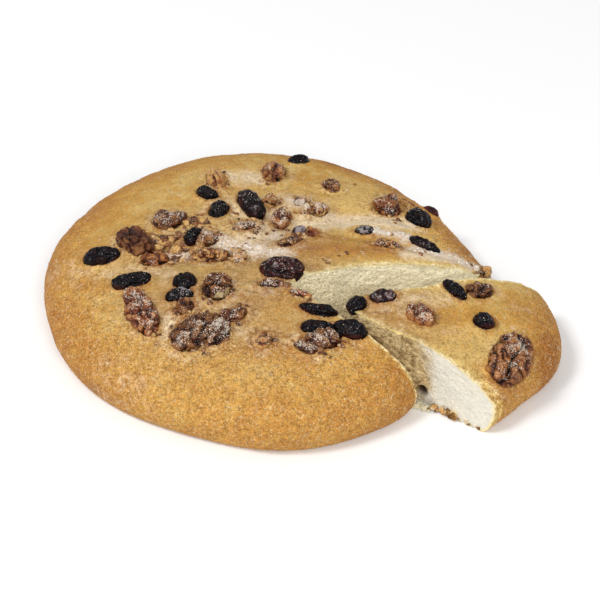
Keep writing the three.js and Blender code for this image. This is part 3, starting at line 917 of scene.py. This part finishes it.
slice_seats = {}
for name, (middle, axes, half) in toppings.items():
    if name not in round_seats:
        slice_seats[name] = (pushed_back(middle), axes @ turn_matrix, half)
slice_dough, slice_skin = cut_dough("slice_dough", slice_swells, slice_seats, slice_cut, "INTERSECT")
finish_dough(slice_dough, slice_skin, slice_swells, slice_seats, slice_look, slice_values)
move_points(slice_dough.data, drawn_out(points_of(slice_dough.data)))
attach(slice_dough, "root")
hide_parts("cake_slice")

# Raisins: dried whole grapes, shrivelled into lengthwise creases, black with a dull gloss, and
# a few redder ones, dusted with the sugar of the top. Their grooves are painted darker as painted
# shade, and small grey painted glints lie on their upward faces

raisin_step = 0.4

# How red and how sugared some of the raisins are, from 0 to 1
raisin_looks = {
    "raisin_04": dict(sugar=0.15),
    "raisin_05": dict(sugar=0.3, red=0.1),
    "raisin_09": dict(sugar=0.4),
    "raisin_10": dict(sugar=0.35, red=0.5),
    "raisin_11": dict(sugar=0.6, red=0.2),
    "raisin_12": dict(sugar=0.6),
    "raisin_13": dict(sugar=0.25),
    "raisin_14": dict(sugar=0.2),
    "raisin_15": dict(red=1.0),
    "slice_raisin_2": dict(sugar=0.5, red=0.6),
}

black = linear(8, 5, 6)
blue_black = linear(20, 14, 22)
warm_black = linear(36, 15, 13)
red_brown = linear(86, 36, 28)
groove_painted_shade = linear(6, 5, 5)
bloom = linear(176, 166, 168)
glint_grey = linear(176, 170, 176)
raisin_skin = Finish("raisin_skin", black, IOR=1.26, Specular_IOR_Level=0.3)
dust = raisin_skin.attribute("dust")
raisin_skin.coat(raisin_skin.clouds(2.6).stepped(0.4, 0.75), blue_black)
raisin_skin.coat(raisin_skin.clouds(5).stepped(0.48, 0.7) * 0.7, warm_black)
raisin_skin.coat(raisin_skin.attribute("red") * raisin_skin.clouds(4, 2).stepped(0.3, 0.65), red_brown)
# Painted shade in the raisin's grooves
raisin_skin.coat(raisin_skin.attribute("groove") * 0.7, groove_painted_shade)
powder = dust + raisin_skin.clouds(1.5, 4).centred * 1.6 + raisin_skin.clouds(4, 2).centred * 1.2
raisin_skin.coat(powder.stepped(0.42, 0.85) * 0.6 * dust.stepped(0.02, 0.2), bloom)
# Painted glints: small grey specks on the upward faces
painted_glints = raisin_skin.clouds(0.6, 2).stepped(0.59, 0.67) * raisin_skin.clouds(3, 2).stepped(0.4, 0.62)
raisin_skin.coat(painted_glints * raisin_skin.attribute("upward") * 0.36, glint_grey)
wrinkles = raisin_skin.clouds(0.9, 2) + raisin_skin.clouds(2, 2) * 1.8
raisin_skin.wear(0.1 + 0.2 * raisin_skin.clouds(1.6, 2) + 0.3 * dust, wrinkles, 0.45)


def evened(node, spacing):
    """A topping's solid as an even, rounded mesh of small squares"""
    copy = add_object("copy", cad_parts[node].data.copy())
    merged = bmesh.new()
    merged.from_mesh(copy.data)
    bmesh.ops.remove_doubles(merged, verts=merged.verts, dist=1e-6)
    merged.to_mesh(copy.data)
    merged.free()
    squares = copy.modifiers.new("squares", "REMESH")
    squares.mode = "VOXEL"
    squares.voxel_size = spacing * mm
    rounded = copy.modifiers.new("rounded", "SMOOTH")
    rounded.factor = 0.5
    rounded.iterations = 10
    mesh = as_mesh(copy)
    bpy.data.objects.remove(copy)
    mesh.materials.clear()
    for name in [layer.name for layer in mesh.attributes if not layer.is_required]:
        if name in mesh.attributes and name not in ("material_index", "sharp_face"):
            mesh.attributes.remove(mesh.attributes[name])
    return mesh


def normals_of(mesh):
    flat = np.empty(len(mesh.vertices) * 3)
    mesh.vertex_normals.foreach_get("vector", flat)
    return flat.reshape(-1, 3)


def swells_of(points, wavelength, seed, stretch=(1, 1, 1)):
    """Rounded swells from 0 to 1, with sharp furrows winding between them"""
    return np.minimum(1, 2.4 * np.abs(field(points, wavelength, seed, stretch))) ** 0.6


def bent(points, amount, wavelength, seed):
    """Points pushed about at random, so that what is drawn on them winds"""
    return points + amount * np.stack([field(points, wavelength, seed + i) for i in range(3)], 1)


def add_topping(node, suffix, mesh):
    mesh.shade_smooth()
    piece = add_object(node + suffix, mesh)
    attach(piece, "root")
    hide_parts(node)
    return piece


dusted_pieces = []
for seed, node in enumerate(name for name in toppings if "raisin" in name):
    middle, axes, half = toppings[node]
    look = raisin_looks.get(node, {})
    mesh = evened(node, raisin_step)
    points = points_of(mesh)
    local = (points - middle) @ axes.T
    winding = bent(local, 0.7, 4, seed + 170)
    deep = swells_of(winding, 4.2, seed, (2.4, 1, 1))
    fine = swells_of(winding, 2.2, seed + 50, (1.8, 1, 1))
    relief = 1.0 * deep + 0.45 * fine - 0.75 + 0.25 * field(local, 4, seed + 90)
    facing = normals_of(mesh)
    points += facing * relief[:, None]
    move_points(mesh, points)
    amount = look.get("sugar", 0.06)
    upward = smooth_step(0.1, 0.8, facing[:, 2])
    low_blush = smooth_step(0.55, 0.1, facing[:, 2]) * smooth_step(-0.2, 0.5, field(points, 9, seed + 190))
    keep_values(
        mesh,
        groove=1 - smooth_step(0.2, 0.7, 0.7 * deep + 0.3 * fine),
        dust=amount * upward * (1 + 0.5 * field(points, 3, seed + 130)),
        red=look.get("red", 0.0) + 0.5 * low_blush,
        upward=upward,
        loose=0.75 * amount * upward * smooth_step(-0.2, 0.6, field(points, 3, seed + 150)),
    )
    mesh.materials.append(raisin_skin.material)
    dusted_pieces.append(add_topping(node, "_fruit", mesh))

# Walnuts: broken kernels, folded into winding ridges, their thin brown skin glazed by the sugar
# and torn to the cream flesh where they snapped. Each is pressed into the dough. Their furrows
# are painted dark as painted shade, their crests lighter in part as painted highlight, and the
# sugar frost on them holds painted glints

kernel_step = 0.42

# How some of the kernels look: sugar on them, redness and golden flake, from 0 to 1, share of
# the usual lightness, and how much lower one lies
kernel_looks = {
    "walnut_01": dict(sugar=0.04, red=0.6, shade=0.55),
    "walnut_02": dict(red=0.4),
    "walnut_03": dict(sugar=0.42, golden=0.1, shade=0.64),
    "walnut_04": dict(sugar=0.5, golden=0.4, shade=0.8),
    "walnut_05": dict(sugar=0.1, golden=0.6, shade=1.2),
    "walnut_06": dict(sugar=0.35, red=0.4, golden=0.3, shade=1.1),
    "walnut_07": dict(sugar=0.3, golden=0.5),
    "walnut_08": dict(sugar=0.55),
    "walnut_09": dict(sugar=0.65, golden=0.4),
    "walnut_10": dict(sugar=0.3, golden=0.4),
    "walnut_12": dict(sugar=0.15, golden=0.4, shade=1.2),
    "walnut_13": dict(sugar=0.55, golden=0.6, shade=1.2),
    "walnut_14": dict(sugar=0.6),
    "walnut_15": dict(sugar=0.3, golden=0.1, shade=0.7),
    "walnut_16": dict(sugar=0.42, red=0.7),
    "walnut_17": dict(shade=0.75),
    "walnut_18": dict(sugar=0.22, shade=0.55),
    "walnut_19": dict(sugar=0.35, red=0.6, shade=0.7),
    "walnut_20": dict(sugar=0.5, shade=0.66),
    "walnut_21": dict(sugar=0.25, red=0.4, golden=0.6, shade=1.1),
    "walnut_22": dict(sugar=0.5, red=0.8, shade=1.3),
    "walnut_23": dict(sugar=0.45),
    "walnut_24": dict(sugar=0.3, golden=0.45, shade=1.1),
    "walnut_25": dict(sugar=0.35, golden=0.4, shade=1.1),
    "walnut_26": dict(sugar=0.85),
    "walnut_27": dict(sugar=0.35, red=0.6, shade=0.8),
    "walnut_28": dict(golden=0.6),
    "walnut_29": dict(golden=0.8, shade=1.2),
    "walnut_30": dict(sugar=0.45, red=0.5, golden=0.15, shade=0.6, lower=1.3),
    "walnut_31": dict(sugar=0.5, golden=0.25, shade=0.7),
    "walnut_32": dict(red=1.0),
    "slice_walnut_1": dict(sugar=0.16, red=0.5, shade=0.52),
    "slice_walnut_2": dict(sugar=0.45, red=0.7, shade=0.86),
    "slice_walnut_half": dict(sugar=0.3, shade=0.96),
}
usual_sugar = 0.15

# Which way the side lies where a kernel snapped
snapped = {"walnut_15": (0.25, -1, -0.1)}

# Where sugar lies caught on some of them: from, to and width in plan, and how thick
caught_lines = {
    "walnut_18": ((-42, -72), (-30, -65), 3.4, 0.45),
    "walnut_20": ((-27, -66), (-22, -60), 4, 0.4),
}

furrow_painted_shade = linear(18, 8, 4)
dark_skin = linear(50, 21, 8)
dark_red_skin = linear(66, 24, 12)
brown_skin = linear(98, 50, 20)
red_skin = linear(116, 54, 26)
ridge_brown_and_highlight = linear(166, 108, 56)
golden_flake = linear(186, 142, 84)
flesh = linear(216, 192, 140)
frost_and_glint = linear(222, 206, 188)
kernel = Finish("walnut_kernel", furrow_painted_shade, Specular_IOR_Level=0.3)
dust = kernel.attribute("dust")
red = kernel.attribute("red")
grit = kernel.clouds(0.8, 4)
fine_grit = kernel.clouds(0.45, 2)
blots = kernel.clouds(3)
# Painted shade in the furrows and, in part, painted highlight on the crests: the colour follows the swell of
# the ridges
swell = kernel.attribute("swell") + grit.centred * 0.9 + blots.centred * 0.5
kernel.coat(swell.stepped(0.15, 0.45), kernel.mix(red, dark_skin, dark_red_skin))
kernel.coat(swell.stepped(0.4, 0.72), kernel.mix(red, brown_skin, red_skin))
kernel.coat(swell.stepped(0.75, 1.05), ridge_brown_and_highlight)
flaky = kernel.attribute("golden") + kernel.clouds(2.2, 4).centred * 1.4
kernel.coat(flaky.stepped(0.3, 0.75) * swell.stepped(0.3, 0.6), golden_flake)
kernel.coat((kernel.attribute("broken") + kernel.clouds(1.2, 4).centred * 0.9).stepped(0.4, 0.7), flesh)
kernel.shade(kernel.attribute("shade") + 0.9 * fine_grit.centred + 0.6 * blots.centred)
# Sugar frost, with painted glints in it
frost_and_glint_share = dust + kernel.clouds(0.7).centred * 3.4 + kernel.clouds(4, 2).centred * 1.8
kernel.coat(frost_and_glint_share.stepped(0.62, 0.8) * 0.75 * dust.stepped(0.02, 0.2), frost_and_glint)
kernel.wear(0.2 + 0.4 * kernel.clouds(1.6), grit + kernel.clouds(1.8) * 1.5, 0.6)


def kernel_relief(local, half, seed, node):
    """Winding ridges with grooves between them, and flats where a piece snapped"""
    winding = bent(local, 1.2, 6, seed + 210)
    wide = swells_of(winding, 4.8, seed + 230, (1.6, 1, 1))
    fine = swells_of(winding, 2.2, seed + 250, (1.4, 1, 1))
    broken = np.zeros(len(local))
    if node in snapped:
        direction = toppings[node][1] @ np.array(snapped[node]) / np.linalg.norm(snapped[node])
        ragged = (local / half) @ direction + 0.3 * field(local, 3, seed + 270)
        broken = smooth_step(0.55, 0.65, ragged)
    crests = creases(winding, 4, seed + 370, (1.8, 1, 1), 0.2)
    deep = min(1, half[1] / 6)
    relief = deep * (2.7 * wide + 0.5 * crests - 2.0 + 1.3 * field(local, 7, seed + 290))
    relief += 0.5 * fine - 0.2 + 0.25 * field(local, 1.5, seed + 310)
    relief = relief * (1 - 0.8 * broken) - 0.5 * broken
    return relief, 0.6 * wide + 0.25 * fine + 0.3 * crests, broken, np.zeros(len(local))


def add_kernel(node, seed, relief_of):
    middle, axes, half = toppings[node]
    look = kernel_looks.get(node, {})
    mesh = evened(node, kernel_step)
    points = points_of(mesh)
    relief, swell, broken, caught = relief_of((points - middle) @ axes.T, half, seed, node)
    if node in caught_lines:
        caught = strength(points, [caught_lines[node]])
    facing = normals_of(mesh)
    points += facing * (relief - look.get("lower", 0))[:, None]
    move_points(mesh, points)
    amount = look.get("sugar", usual_sugar)
    upward = smooth_step(0.0, 0.8, facing[:, 2])
    flakes = np.clip(look.get("golden", 0) + 0.25 * field(points, 5, seed + 350), 0, 1)
    keep_values(
        mesh,
        swell=swell,
        shade=np.full(len(points), look.get("shade", 1.0)),
        dust=amount * upward * (1 + 0.5 * field(points, 4, seed + 330)) + caught,
        red=np.full(len(points), look.get("red", 0.1)),
        golden=flakes * ("golden" in look),
        broken=broken,
        loose=(0.03 + 0.6 * amount) * upward * smooth_step(-0.2, 0.6, field(points, 3, seed + 370)),
    )
    mesh.materials.append(kernel.material)
    dusted_pieces.append(add_topping(node, "_kernel", mesh))


# These broke up into crumbs, and are made further down, as the half kernel is
crumbled = ("walnut_29", "walnut_12", "walnut_25", "walnut_28")
made_below = crumbled + ("slice_walnut_half",)
whole = [name for name in toppings if "walnut" in name and name not in made_below]
for seed, node in enumerate(whole):
    add_kernel(node, seed, kernel_relief)

# The walnut half on the slice: a whole half kernel with two rows of lobes either side of a long
# groove, its rim ragged, sugar caught in its upper right

sugar_spot = (3.5, 4.5, 3)


def half_relief(local, half, seed, node):
    winding = bent(local, 1.4, 8, seed)
    across = np.abs(winding[:, 1])
    middle_groove = np.exp(-((winding[:, 1] / 0.6) ** 2)) * (local[:, 2] > 0)
    rows = [winding[:, 0] + 0.6 * across, 0.6 * across * np.sign(winding[:, 1]), winding[:, 2]]
    lobes = swells_of(np.stack(rows, 1), 4.4, seed + 5)
    fine = swells_of(winding, 2.2, seed + 7)
    rim = smooth_step(0.7, 1.05, np.hypot(local[:, 0] / half[0], local[:, 1] / half[1]))
    ragged = 1.6 * field(local, 4, seed + 9) * rim
    relief = 1.9 * lobes + 0.6 * fine - 1.3 - 1.5 * middle_groove + 0.6 * field(local, 4, seed + 11) + ragged
    from_spot = np.linalg.norm(local - toppings[node][1] @ np.array(sugar_spot), axis=1)
    caught = 0.9 * smooth_step(5.5, 2.5, from_spot + 1.5 * field(local, 3, seed + 13))
    # The long middle groove is kept dark in the colour, as painted shade
    return relief, (0.65 * lobes + 0.35 * fine) * (1 - 0.7 * middle_groove), np.zeros(len(local)), caught


add_kernel("slice_walnut_half", 400, half_relief)

# Nut bits: crumbs of walnut and loose skin that broke off while the nuts were chopped, scattered
# between the larger pieces and pressed in with them

# Where bits lie: middle in plan, length, how far more of them scatter round it, and how many
bit_groups = (
    ((44.1, 60.4), 3.2, 0, 1), ((64.4, 28), 3.0, 3, 4), ((29.5, -12), 3.4, 3.5, 5), ((36.5, -6), 2.4, 3, 3),
    ((-51, 4), 5.2, 5, 14), ((-44, -4), 4.6, 6, 14), ((-33, 20), 4.2, 6, 14), ((-43, 16), 4.2, 5, 12),
    ((-43, 6), 4.2, 7, 14), ((-37, 4), 3.8, 5, 10), ((-52, 17), 2.6, 4, 4), ((-30, 12), 2.2, 6, 8),
    ((-25, 8), 2.2, 4, 6), ((-18, -1), 2.6, 8, 16), ((-8, 14), 2.8, 7, 10), ((6, 26), 2.8, 7, 8),
    ((-14, 26), 2.6, 6, 8), ((9, 16), 2.4, 4, 6), ((18, 30), 2.2, 5, 6), ((-42, -7), 2.6, 4, 5),
    ((-26, -42), 2.4, 4, 4), ((-40, -50), 2.4, 4, 5), ((-28, -74), 2.6, 4, 5), ((60, 8), 3.2, 7, 7),
    ((76, 2), 3.0, 7, 2), ((-24, -55), 3.4, 3, 6), ((98, 2), 2.6, 6, 2), ((106, -6), 3.0, 3, 5),
    ((22, -46), 2.0, 3, 3), ((30, -74), 2.4, 4, 4), ((-70, 14), 2.2, 3, 3),
)

# Bits lie only on crust above a height. Crust below a place in plan is looked for from a point
# level with the crown, within a reach of it
lowest_bit = 20
search_height = 38
search_reach = 14

bit_brown = linear(146, 92, 48)
bit_dark = linear(70, 36, 18)
bit_golden = linear(206, 162, 98)
bit_frost = linear(208, 188, 164)
bit_skin = Finish("nut_bit", bit_brown, Roughness=0.5, Specular_IOR_Level=0.4)
bit_skin.coat(bit_skin.clouds(2.5).stepped(0.38, 0.56), bit_dark)
bit_skin.coat(bit_skin.clouds(5).stepped(0.5, 0.6), bit_golden)
bit_skin.shade(0.95 + 0.9 * bit_skin.clouds(1.2).centred)
dusting = bit_skin.clouds(1.0).stepped(0.52, 0.62) * bit_skin.clouds(9, 2).stepped(0.4, 0.65)
bit_skin.coat(dusting * 0.8, bit_frost)
bit_skin.wear(None, bit_skin.clouds(0.7), 0.2)


def ball_mesh(detail):
    ball = bmesh.new()
    bmesh.ops.create_icosphere(ball, subdivisions=detail, radius=1)
    points = np.array([vertex.co[:] for vertex in ball.verts])
    faces = [[vertex.index for vertex in face.verts] for face in ball.faces]
    ball.free()
    return points, faces


def lumps(name, places, material, seed, detail=3):
    """One piece of many small broken lumps: each place is a middle and a length in millimetres"""
    random = np.random.default_rng(seed)
    ball, ball_faces = ball_mesh(detail)
    points = []
    faces = []
    for i, (middle, length) in enumerate(places):
        swell = 1 + 0.35 * field(ball, 0.9, seed + i) + 0.12 * field(ball, 0.35, seed + 60 + i)
        shape = ball * swell[:, None] * 0.5 * length
        shape = shape * (1, random.uniform(0.5, 0.9), random.uniform(0.4, 0.7))
        faces += [[v + len(ball) * i for v in face] for face in ball_faces]
        points.append(shape @ upright_turn(random.uniform(0, math.tau)).T + middle)
    points = np.concatenate(points)
    points[:, 2] = np.maximum(points[:, 2], 0.02)
    piece = add_mesh(name, points, faces)
    piece.data.shade_smooth()
    piece.data.materials.append(material)
    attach(piece, "root")
    return piece


# Kernels that broke up: each is a heap of crumbs in its pocket
for seed, node in enumerate(crumbled):
    middle, axes, half = toppings[node]
    look = kernel_looks[node]
    random = np.random.default_rng(600 + seed)
    count = round(half[0] * half[1] * 1.2)
    spread = random.normal(0, 1, (count, 3))
    spread /= np.linalg.norm(spread, axis=1)[:, None]
    lengths = random.uniform(2.2, 4.2, count)
    inside = np.maximum(half - 0.42 * lengths[:, None], 0.3)
    heap = [(middle + (spread[i] * inside[i]) @ axes, lengths[i]) for i in range(count)]
    piece = lumps(node + "_kernel", heap, kernel.material, 620 + 40 * seed)
    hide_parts(node)
    points = points_of(piece.data)
    amount = look.get("sugar", usual_sugar)
    keep_values(
        piece.data,
        swell=0.72 + 0.35 * field(points, 2, seed + 640),
        shade=np.full(len(points), look.get("shade", 1.0)),
        dust=np.full(len(points), amount),
        red=np.full(len(points), 0.2),
        golden=np.clip(look["golden"] + 0.4 * field(points, 3, seed + 660), 0, 1),
        broken=np.zeros(len(points)),
        loose=np.full(len(points), 0.3 * amount),
    )
    dusted_pieces.append(piece)

dough_points = points_of(round_dough.data)
dough_tree = nearest(dough_points)


def crust_spot(x, y, lowest):
    """The crust's point nearest to a place in plan, if it lies above a height"""
    near = dough_tree.find_range(Vector((x, y, search_height)), search_reach)
    found = [dough_points[i] for _, i, _ in near]
    spot = min(found, key=lambda point: math.hypot(point[0] - x, point[1] - y), default=None)
    return spot if spot is not None and spot[2] > lowest else None


scatter = np.random.default_rng(8)
bit_places = []
for middle, length, reach, count in bit_groups:
    for _ in range(count):
        x, y = np.array(middle) + scatter.normal(0, 1, 2) * reach * 0.5
        spot = crust_spot(x, y, lowest_bit)
        if spot is not None:
            bit_places.append((spot, length * scatter.uniform(0.5, 1.25)))
for node in [name for name in whole if name in round_seats]:
    middle, axes, half = toppings[node]
    for _ in range(round(0.1 * half[0] * half[1]) + 3):
        turn = scatter.uniform(0, math.tau)
        out = scatter.uniform(0.95, 1.35)
        plan = middle + out * (half[0] * math.cos(turn) * axes[0] + half[1] * math.sin(turn) * axes[1])
        spot = crust_spot(plan[0], plan[1], lowest_bit)
        if spot is not None:
            bit_places.append((spot, scatter.uniform(1.6, 4.2)))
lumps("nut_bits", bit_places, bit_skin.material, 500)

# Torn foot of the slice: crumbs of crust hanging along the foot of its near side, and pale crumbs
# that fell below it

foot_heading = math.radians(slice_cut["near"]["heading"])
foot_start = np.array(slice_cut["near"]["start"])
foot_along = np.array([math.cos(foot_heading), math.sin(foot_heading)])
foot_out = np.array([math.sin(foot_heading), -math.cos(foot_heading)])

# Along the foot from the tip: where crust hangs torn and how closely, and where crumbs fell, how
# many and how far out
torn_from = 43
torn_to = 70
torn_gap = 0.9
fallen_from = 34
fallen_to = 43
fallen_out = 3
fallen_count = 14

torn_gold = linear(196, 150, 92)
torn_brown = linear(118, 84, 46)
torn_cream = linear(214, 190, 146)
torn_skin = Finish("torn_crust", torn_gold, Roughness=0.8, Specular_IOR_Level=0.1)
torn_skin.coat(torn_skin.clouds(4).stepped(0.42, 0.55), torn_brown)
torn_skin.coat(torn_skin.clouds(3).stepped(0.5, 0.62), torn_cream)
torn_skin.shade(1 + torn_skin.clouds(0.8).centred * 1.2)
torn_skin.wear(None, torn_skin.clouds(0.8), 0.4)

torn_places = []
for reach in np.arange(torn_from, torn_to, torn_gap):
    length = (1.3 + 3.7 * scatter.uniform(0, 1) ** 1.6) * (1 - 0.55 * float(smooth_step(50, 66, reach)))
    plan = foot_start + foot_along * (reach + scatter.normal(0, 1))
    plan = plan + foot_out * scatter.normal(0.9 - 0.3 * length, 0.3)
    spot = drawn_out(np.array([*plan, 0.34 * length + scatter.uniform(0, 1.4)]))
    torn_places.append((spot, length))
lumps("torn_foot", torn_places, torn_skin.material, 560)

fallen_tan = linear(212, 200, 160)
fallen_cream = linear(236, 228, 202)
fallen = Finish("fallen_crumb", fallen_tan, Roughness=0.9, Specular_IOR_Level=0.1)
fallen.coat(fallen.clouds(1.5), fallen_cream)
fallen.wear(None, fallen.clouds(0.8), 0.4)

fallen_places = []
for _ in range(fallen_count):
    length = scatter.uniform(1.6, 4.2)
    plan = foot_start + foot_along * scatter.uniform(fallen_from, fallen_to)
    plan = plan + foot_out * scatter.uniform(0, fallen_out)
    fallen_places.append((drawn_out(np.array([*plan, 0.3 * length])), length))
lumps("fallen_crumbs", fallen_places, fallen.material, 580)

# Sugar: coarse grains strewn over the dough before baking, thickest in the folds and low on the
# rim, and a little on the fruit and nuts

# Sizes of the grains, and how many lie on a square metre where they are thickest
melted_grain = 0.36
loose_grain = 0.32
topping_grain = 0.3
melted_per_metre = 0.9e6
loose_per_metre = 2.6e6
topping_per_metre = 1.6e6

light_amber = linear(226, 184, 112)
amber = linear(186, 128, 62)
pale_amber = linear(236, 210, 164)
grain_finish = Finish("sugar_grain", light_amber, Specular_IOR_Level=0.2)
# Grains are amber where the crust is browned, and where it is painted darker as painted shade
grain_finish.coat(grain_finish.attribute("browned").stepped(0.1, 0.8), amber)
grain_finish.coat(grain_finish.clouds(2).stepped(0.58, 0.7) * 0.2, pale_amber)
grain_finish.wear(0.35 + 0.3 * grain_finish.clouds(2, 2))

loose_white = linear(228, 216, 202)
loose_grey = linear(206, 188, 168)
loose_finish = Finish("loose_sugar", loose_white, Roughness=0.35, Specular_IOR_Level=0.4)
loose_finish.coat(loose_finish.clouds(3).stepped(0.4, 0.6), loose_grey)
loose_finish.wear()


def sugar_tree(value, finish):
    """Strews cubes of sugar over a surface, where a value kept on it is high"""
    tree = bpy.data.node_groups.new("strewn_" + value, "GeometryNodeTree")
    sockets = (
        ("Geometry", "INPUT", "NodeSocketGeometry"),
        ("Grain Size", "INPUT", "NodeSocketFloat"),
        ("Grains a Square Metre", "INPUT", "NodeSocketFloat"),
        ("Seed", "INPUT", "NodeSocketInt"),
        ("Geometry", "OUTPUT", "NodeSocketGeometry"),
    )
    for name, way, kind in sockets:
        tree.interface.new_socket(name, in_out=way, socket_type=kind)

    def node(kind, settings=None, **values):
        made = tree.nodes.new(kind)
        for name, setting in (settings or {}).items():
            setattr(made, name, setting)
        for name, given_value in values.items():
            names = (name, name.replace("_", " "))
            socket = next(each for each in made.inputs if each.identifier in names or each.name in names)
            if isinstance(given_value, bpy.types.NodeSocket):
                tree.links.new(given_value, socket)
            else:
                socket.default_value = given_value
        return made.outputs

    def random_vector(least, most):
        settings = {"data_type": "FLOAT_VECTOR"}
        return node("FunctionNodeRandomValue", settings, Min=(least,) * 3, Max=(most,) * 3, Seed=seed)[0]

    given = node("NodeGroupInput")
    geometry = given["Geometry"]
    seed = given["Seed"]
    wanted = given["Grains a Square Metre"]
    sugar = node("GeometryNodeInputNamedAttribute", {"data_type": "FLOAT"}, Name=value)["Attribute"]
    density = node("ShaderNodeMath", {"operation": "MULTIPLY"}, Value=sugar, Value_001=wanted)[0]
    points = node("GeometryNodeDistributePointsOnFaces", Mesh=geometry, Density=density, Seed=seed)[0]
    spin = random_vector(0, 6.283)
    share = random_vector(0.5, 1.1)
    size = node("ShaderNodeVectorMath", {"operation": "SCALE"}, Vector=share, Scale=given["Grain Size"])[0]
    cube = node("GeometryNodeMeshCube", Size=(1, 1, 1))[0]
    strewn = node("GeometryNodeInstanceOnPoints", Points=points, Instance=cube, Rotation=spin, Scale=size)[0]
    real = node("GeometryNodeRealizeInstances", Geometry=strewn)[0]
    finished = node("GeometryNodeSetMaterial", Geometry=real, Material=finish.material)[0]
    node("NodeGroupOutput", Geometry=finished)
    return tree


# What the grains keep of the layers of the piece they lie on
kept_layers = (
    "browned", "position", ".edge_verts", ".corner_vert", ".corner_edge", "material_index", "sharp_face",
)


def strew(name, piece, tree, size, per_metre, seed):
    """Sugar on a piece, as a piece of its own"""
    modifier = piece.modifiers.new("sugar", "NODES")
    modifier.node_group = tree
    values = {"Grain Size": size * mm, "Grains a Square Metre": per_metre, "Seed": seed}
    for item in tree.interface.items_tree:
        if item.name in values and item.in_out == "INPUT":
            modifier[item.identifier] = values[item.name]
    grains = add_object(name, as_mesh(piece))
    piece.modifiers.remove(modifier)
    layers = grains.data.attributes
    for layer in [layer.name for layer in layers if layer.name not in kept_layers and not layer.is_required]:
        layers.remove(layers[layer])
    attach(grains, "root")


# Clumps of sugar stuck together, where it lies thickest: the least strength of such a drift, how
# many clumps a millimetre of it holds, and the height above which they lie
clumped_from = 0.9
clumps_per_mm = 0.5
lowest_clump = 15
clump_places = []
for start, end, width, most in [line for line in drifts if line[3] > clumped_from]:
    for _ in range(round(clumps_per_mm * math.dist(start, end)) + 1):
        along = scatter.uniform(0, 1)
        x, y = (start[i] + along * (end[i] - start[i]) + scatter.normal(0, 0.33) * width for i in range(2))
        spot = crust_spot(x, y, lowest_clump)
        if spot is not None:
            clump_places.append((spot, scatter.uniform(1.2, 3.0)))
lumps("sugar_clumps", clump_places, loose_finish.material, 540, 2)

melted_tree = sugar_tree("sugar", grain_finish)
loose_tree = sugar_tree("loose", loose_finish)
strew("round_sugar", round_dough, melted_tree, melted_grain, melted_per_metre, 3)
strew("slice_sugar", slice_dough, melted_tree, melted_grain, melted_per_metre, 4)
strew("round_loose_sugar", round_dough, loose_tree, loose_grain, loose_per_metre, 5)
strew("slice_loose_sugar", slice_dough, loose_tree, loose_grain, loose_per_metre, 6)

# Sugar on the raisins and nuts, strewn over all of them together
together = bmesh.new()
for piece in dusted_pieces:
    together.from_mesh(piece.data)
joined = add_object("joined", bpy.data.meshes.new("joined"))
together.to_mesh(joined.data)
together.free()
strew("topping_sugar", joined, loose_tree, topping_grain, topping_per_metre, 7)
bpy.data.objects.remove(joined)

# Floor and light: a plain pale table, soft light from above and behind the left shoulder, and a
# weaker one from the front

floor_half = 2500
table_white = (0.95, 0.95, 0.95, 1)
table_grey = (0.94, 0.94, 0.94, 1)
corners = [(-floor_half, -floor_half, 0), (floor_half, -floor_half, 0), (floor_half, floor_half, 0)]
floor = add_mesh("floor", corners + [(-floor_half, floor_half, 0)], [(0, 1, 2, 3)])
table_top = Finish("table_top", table_white, Roughness=0.9, Specular_IOR_Level=0.0)
table_top.coat(table_top.clouds(400, 1), table_grey)
table_top.wear()
floor.data.materials.append(table_top.material)


def add_light(name, place, size, watts):
    """A square lamp that shines on the middle of the cake's foot"""
    lamp = bpy.data.lights.new(name, "AREA")
    lamp.energy = watts
    lamp.size = size
    light = add_object(name, lamp)
    light.location = place
    light.rotation_euler = (-Vector(place)).to_track_quat("-Z", "Y").to_euler()


add_light("window", (-1.5, -0.7, 2.4), 0.8, 40)
add_light("front_fill", (0.5, -2.4, 1.9), 1.6, 45)
sky = bpy.data.worlds.new("sky")
sky.use_nodes = True
sky.node_tree.nodes["Background"].inputs["Color"].default_value = (1, 1, 1, 1)
sky.node_tree.nodes["Background"].inputs["Strength"].default_value = 0.48
bpy.context.scene.world = sky
bpy.context.scene.view_settings.view_transform = "Standard"
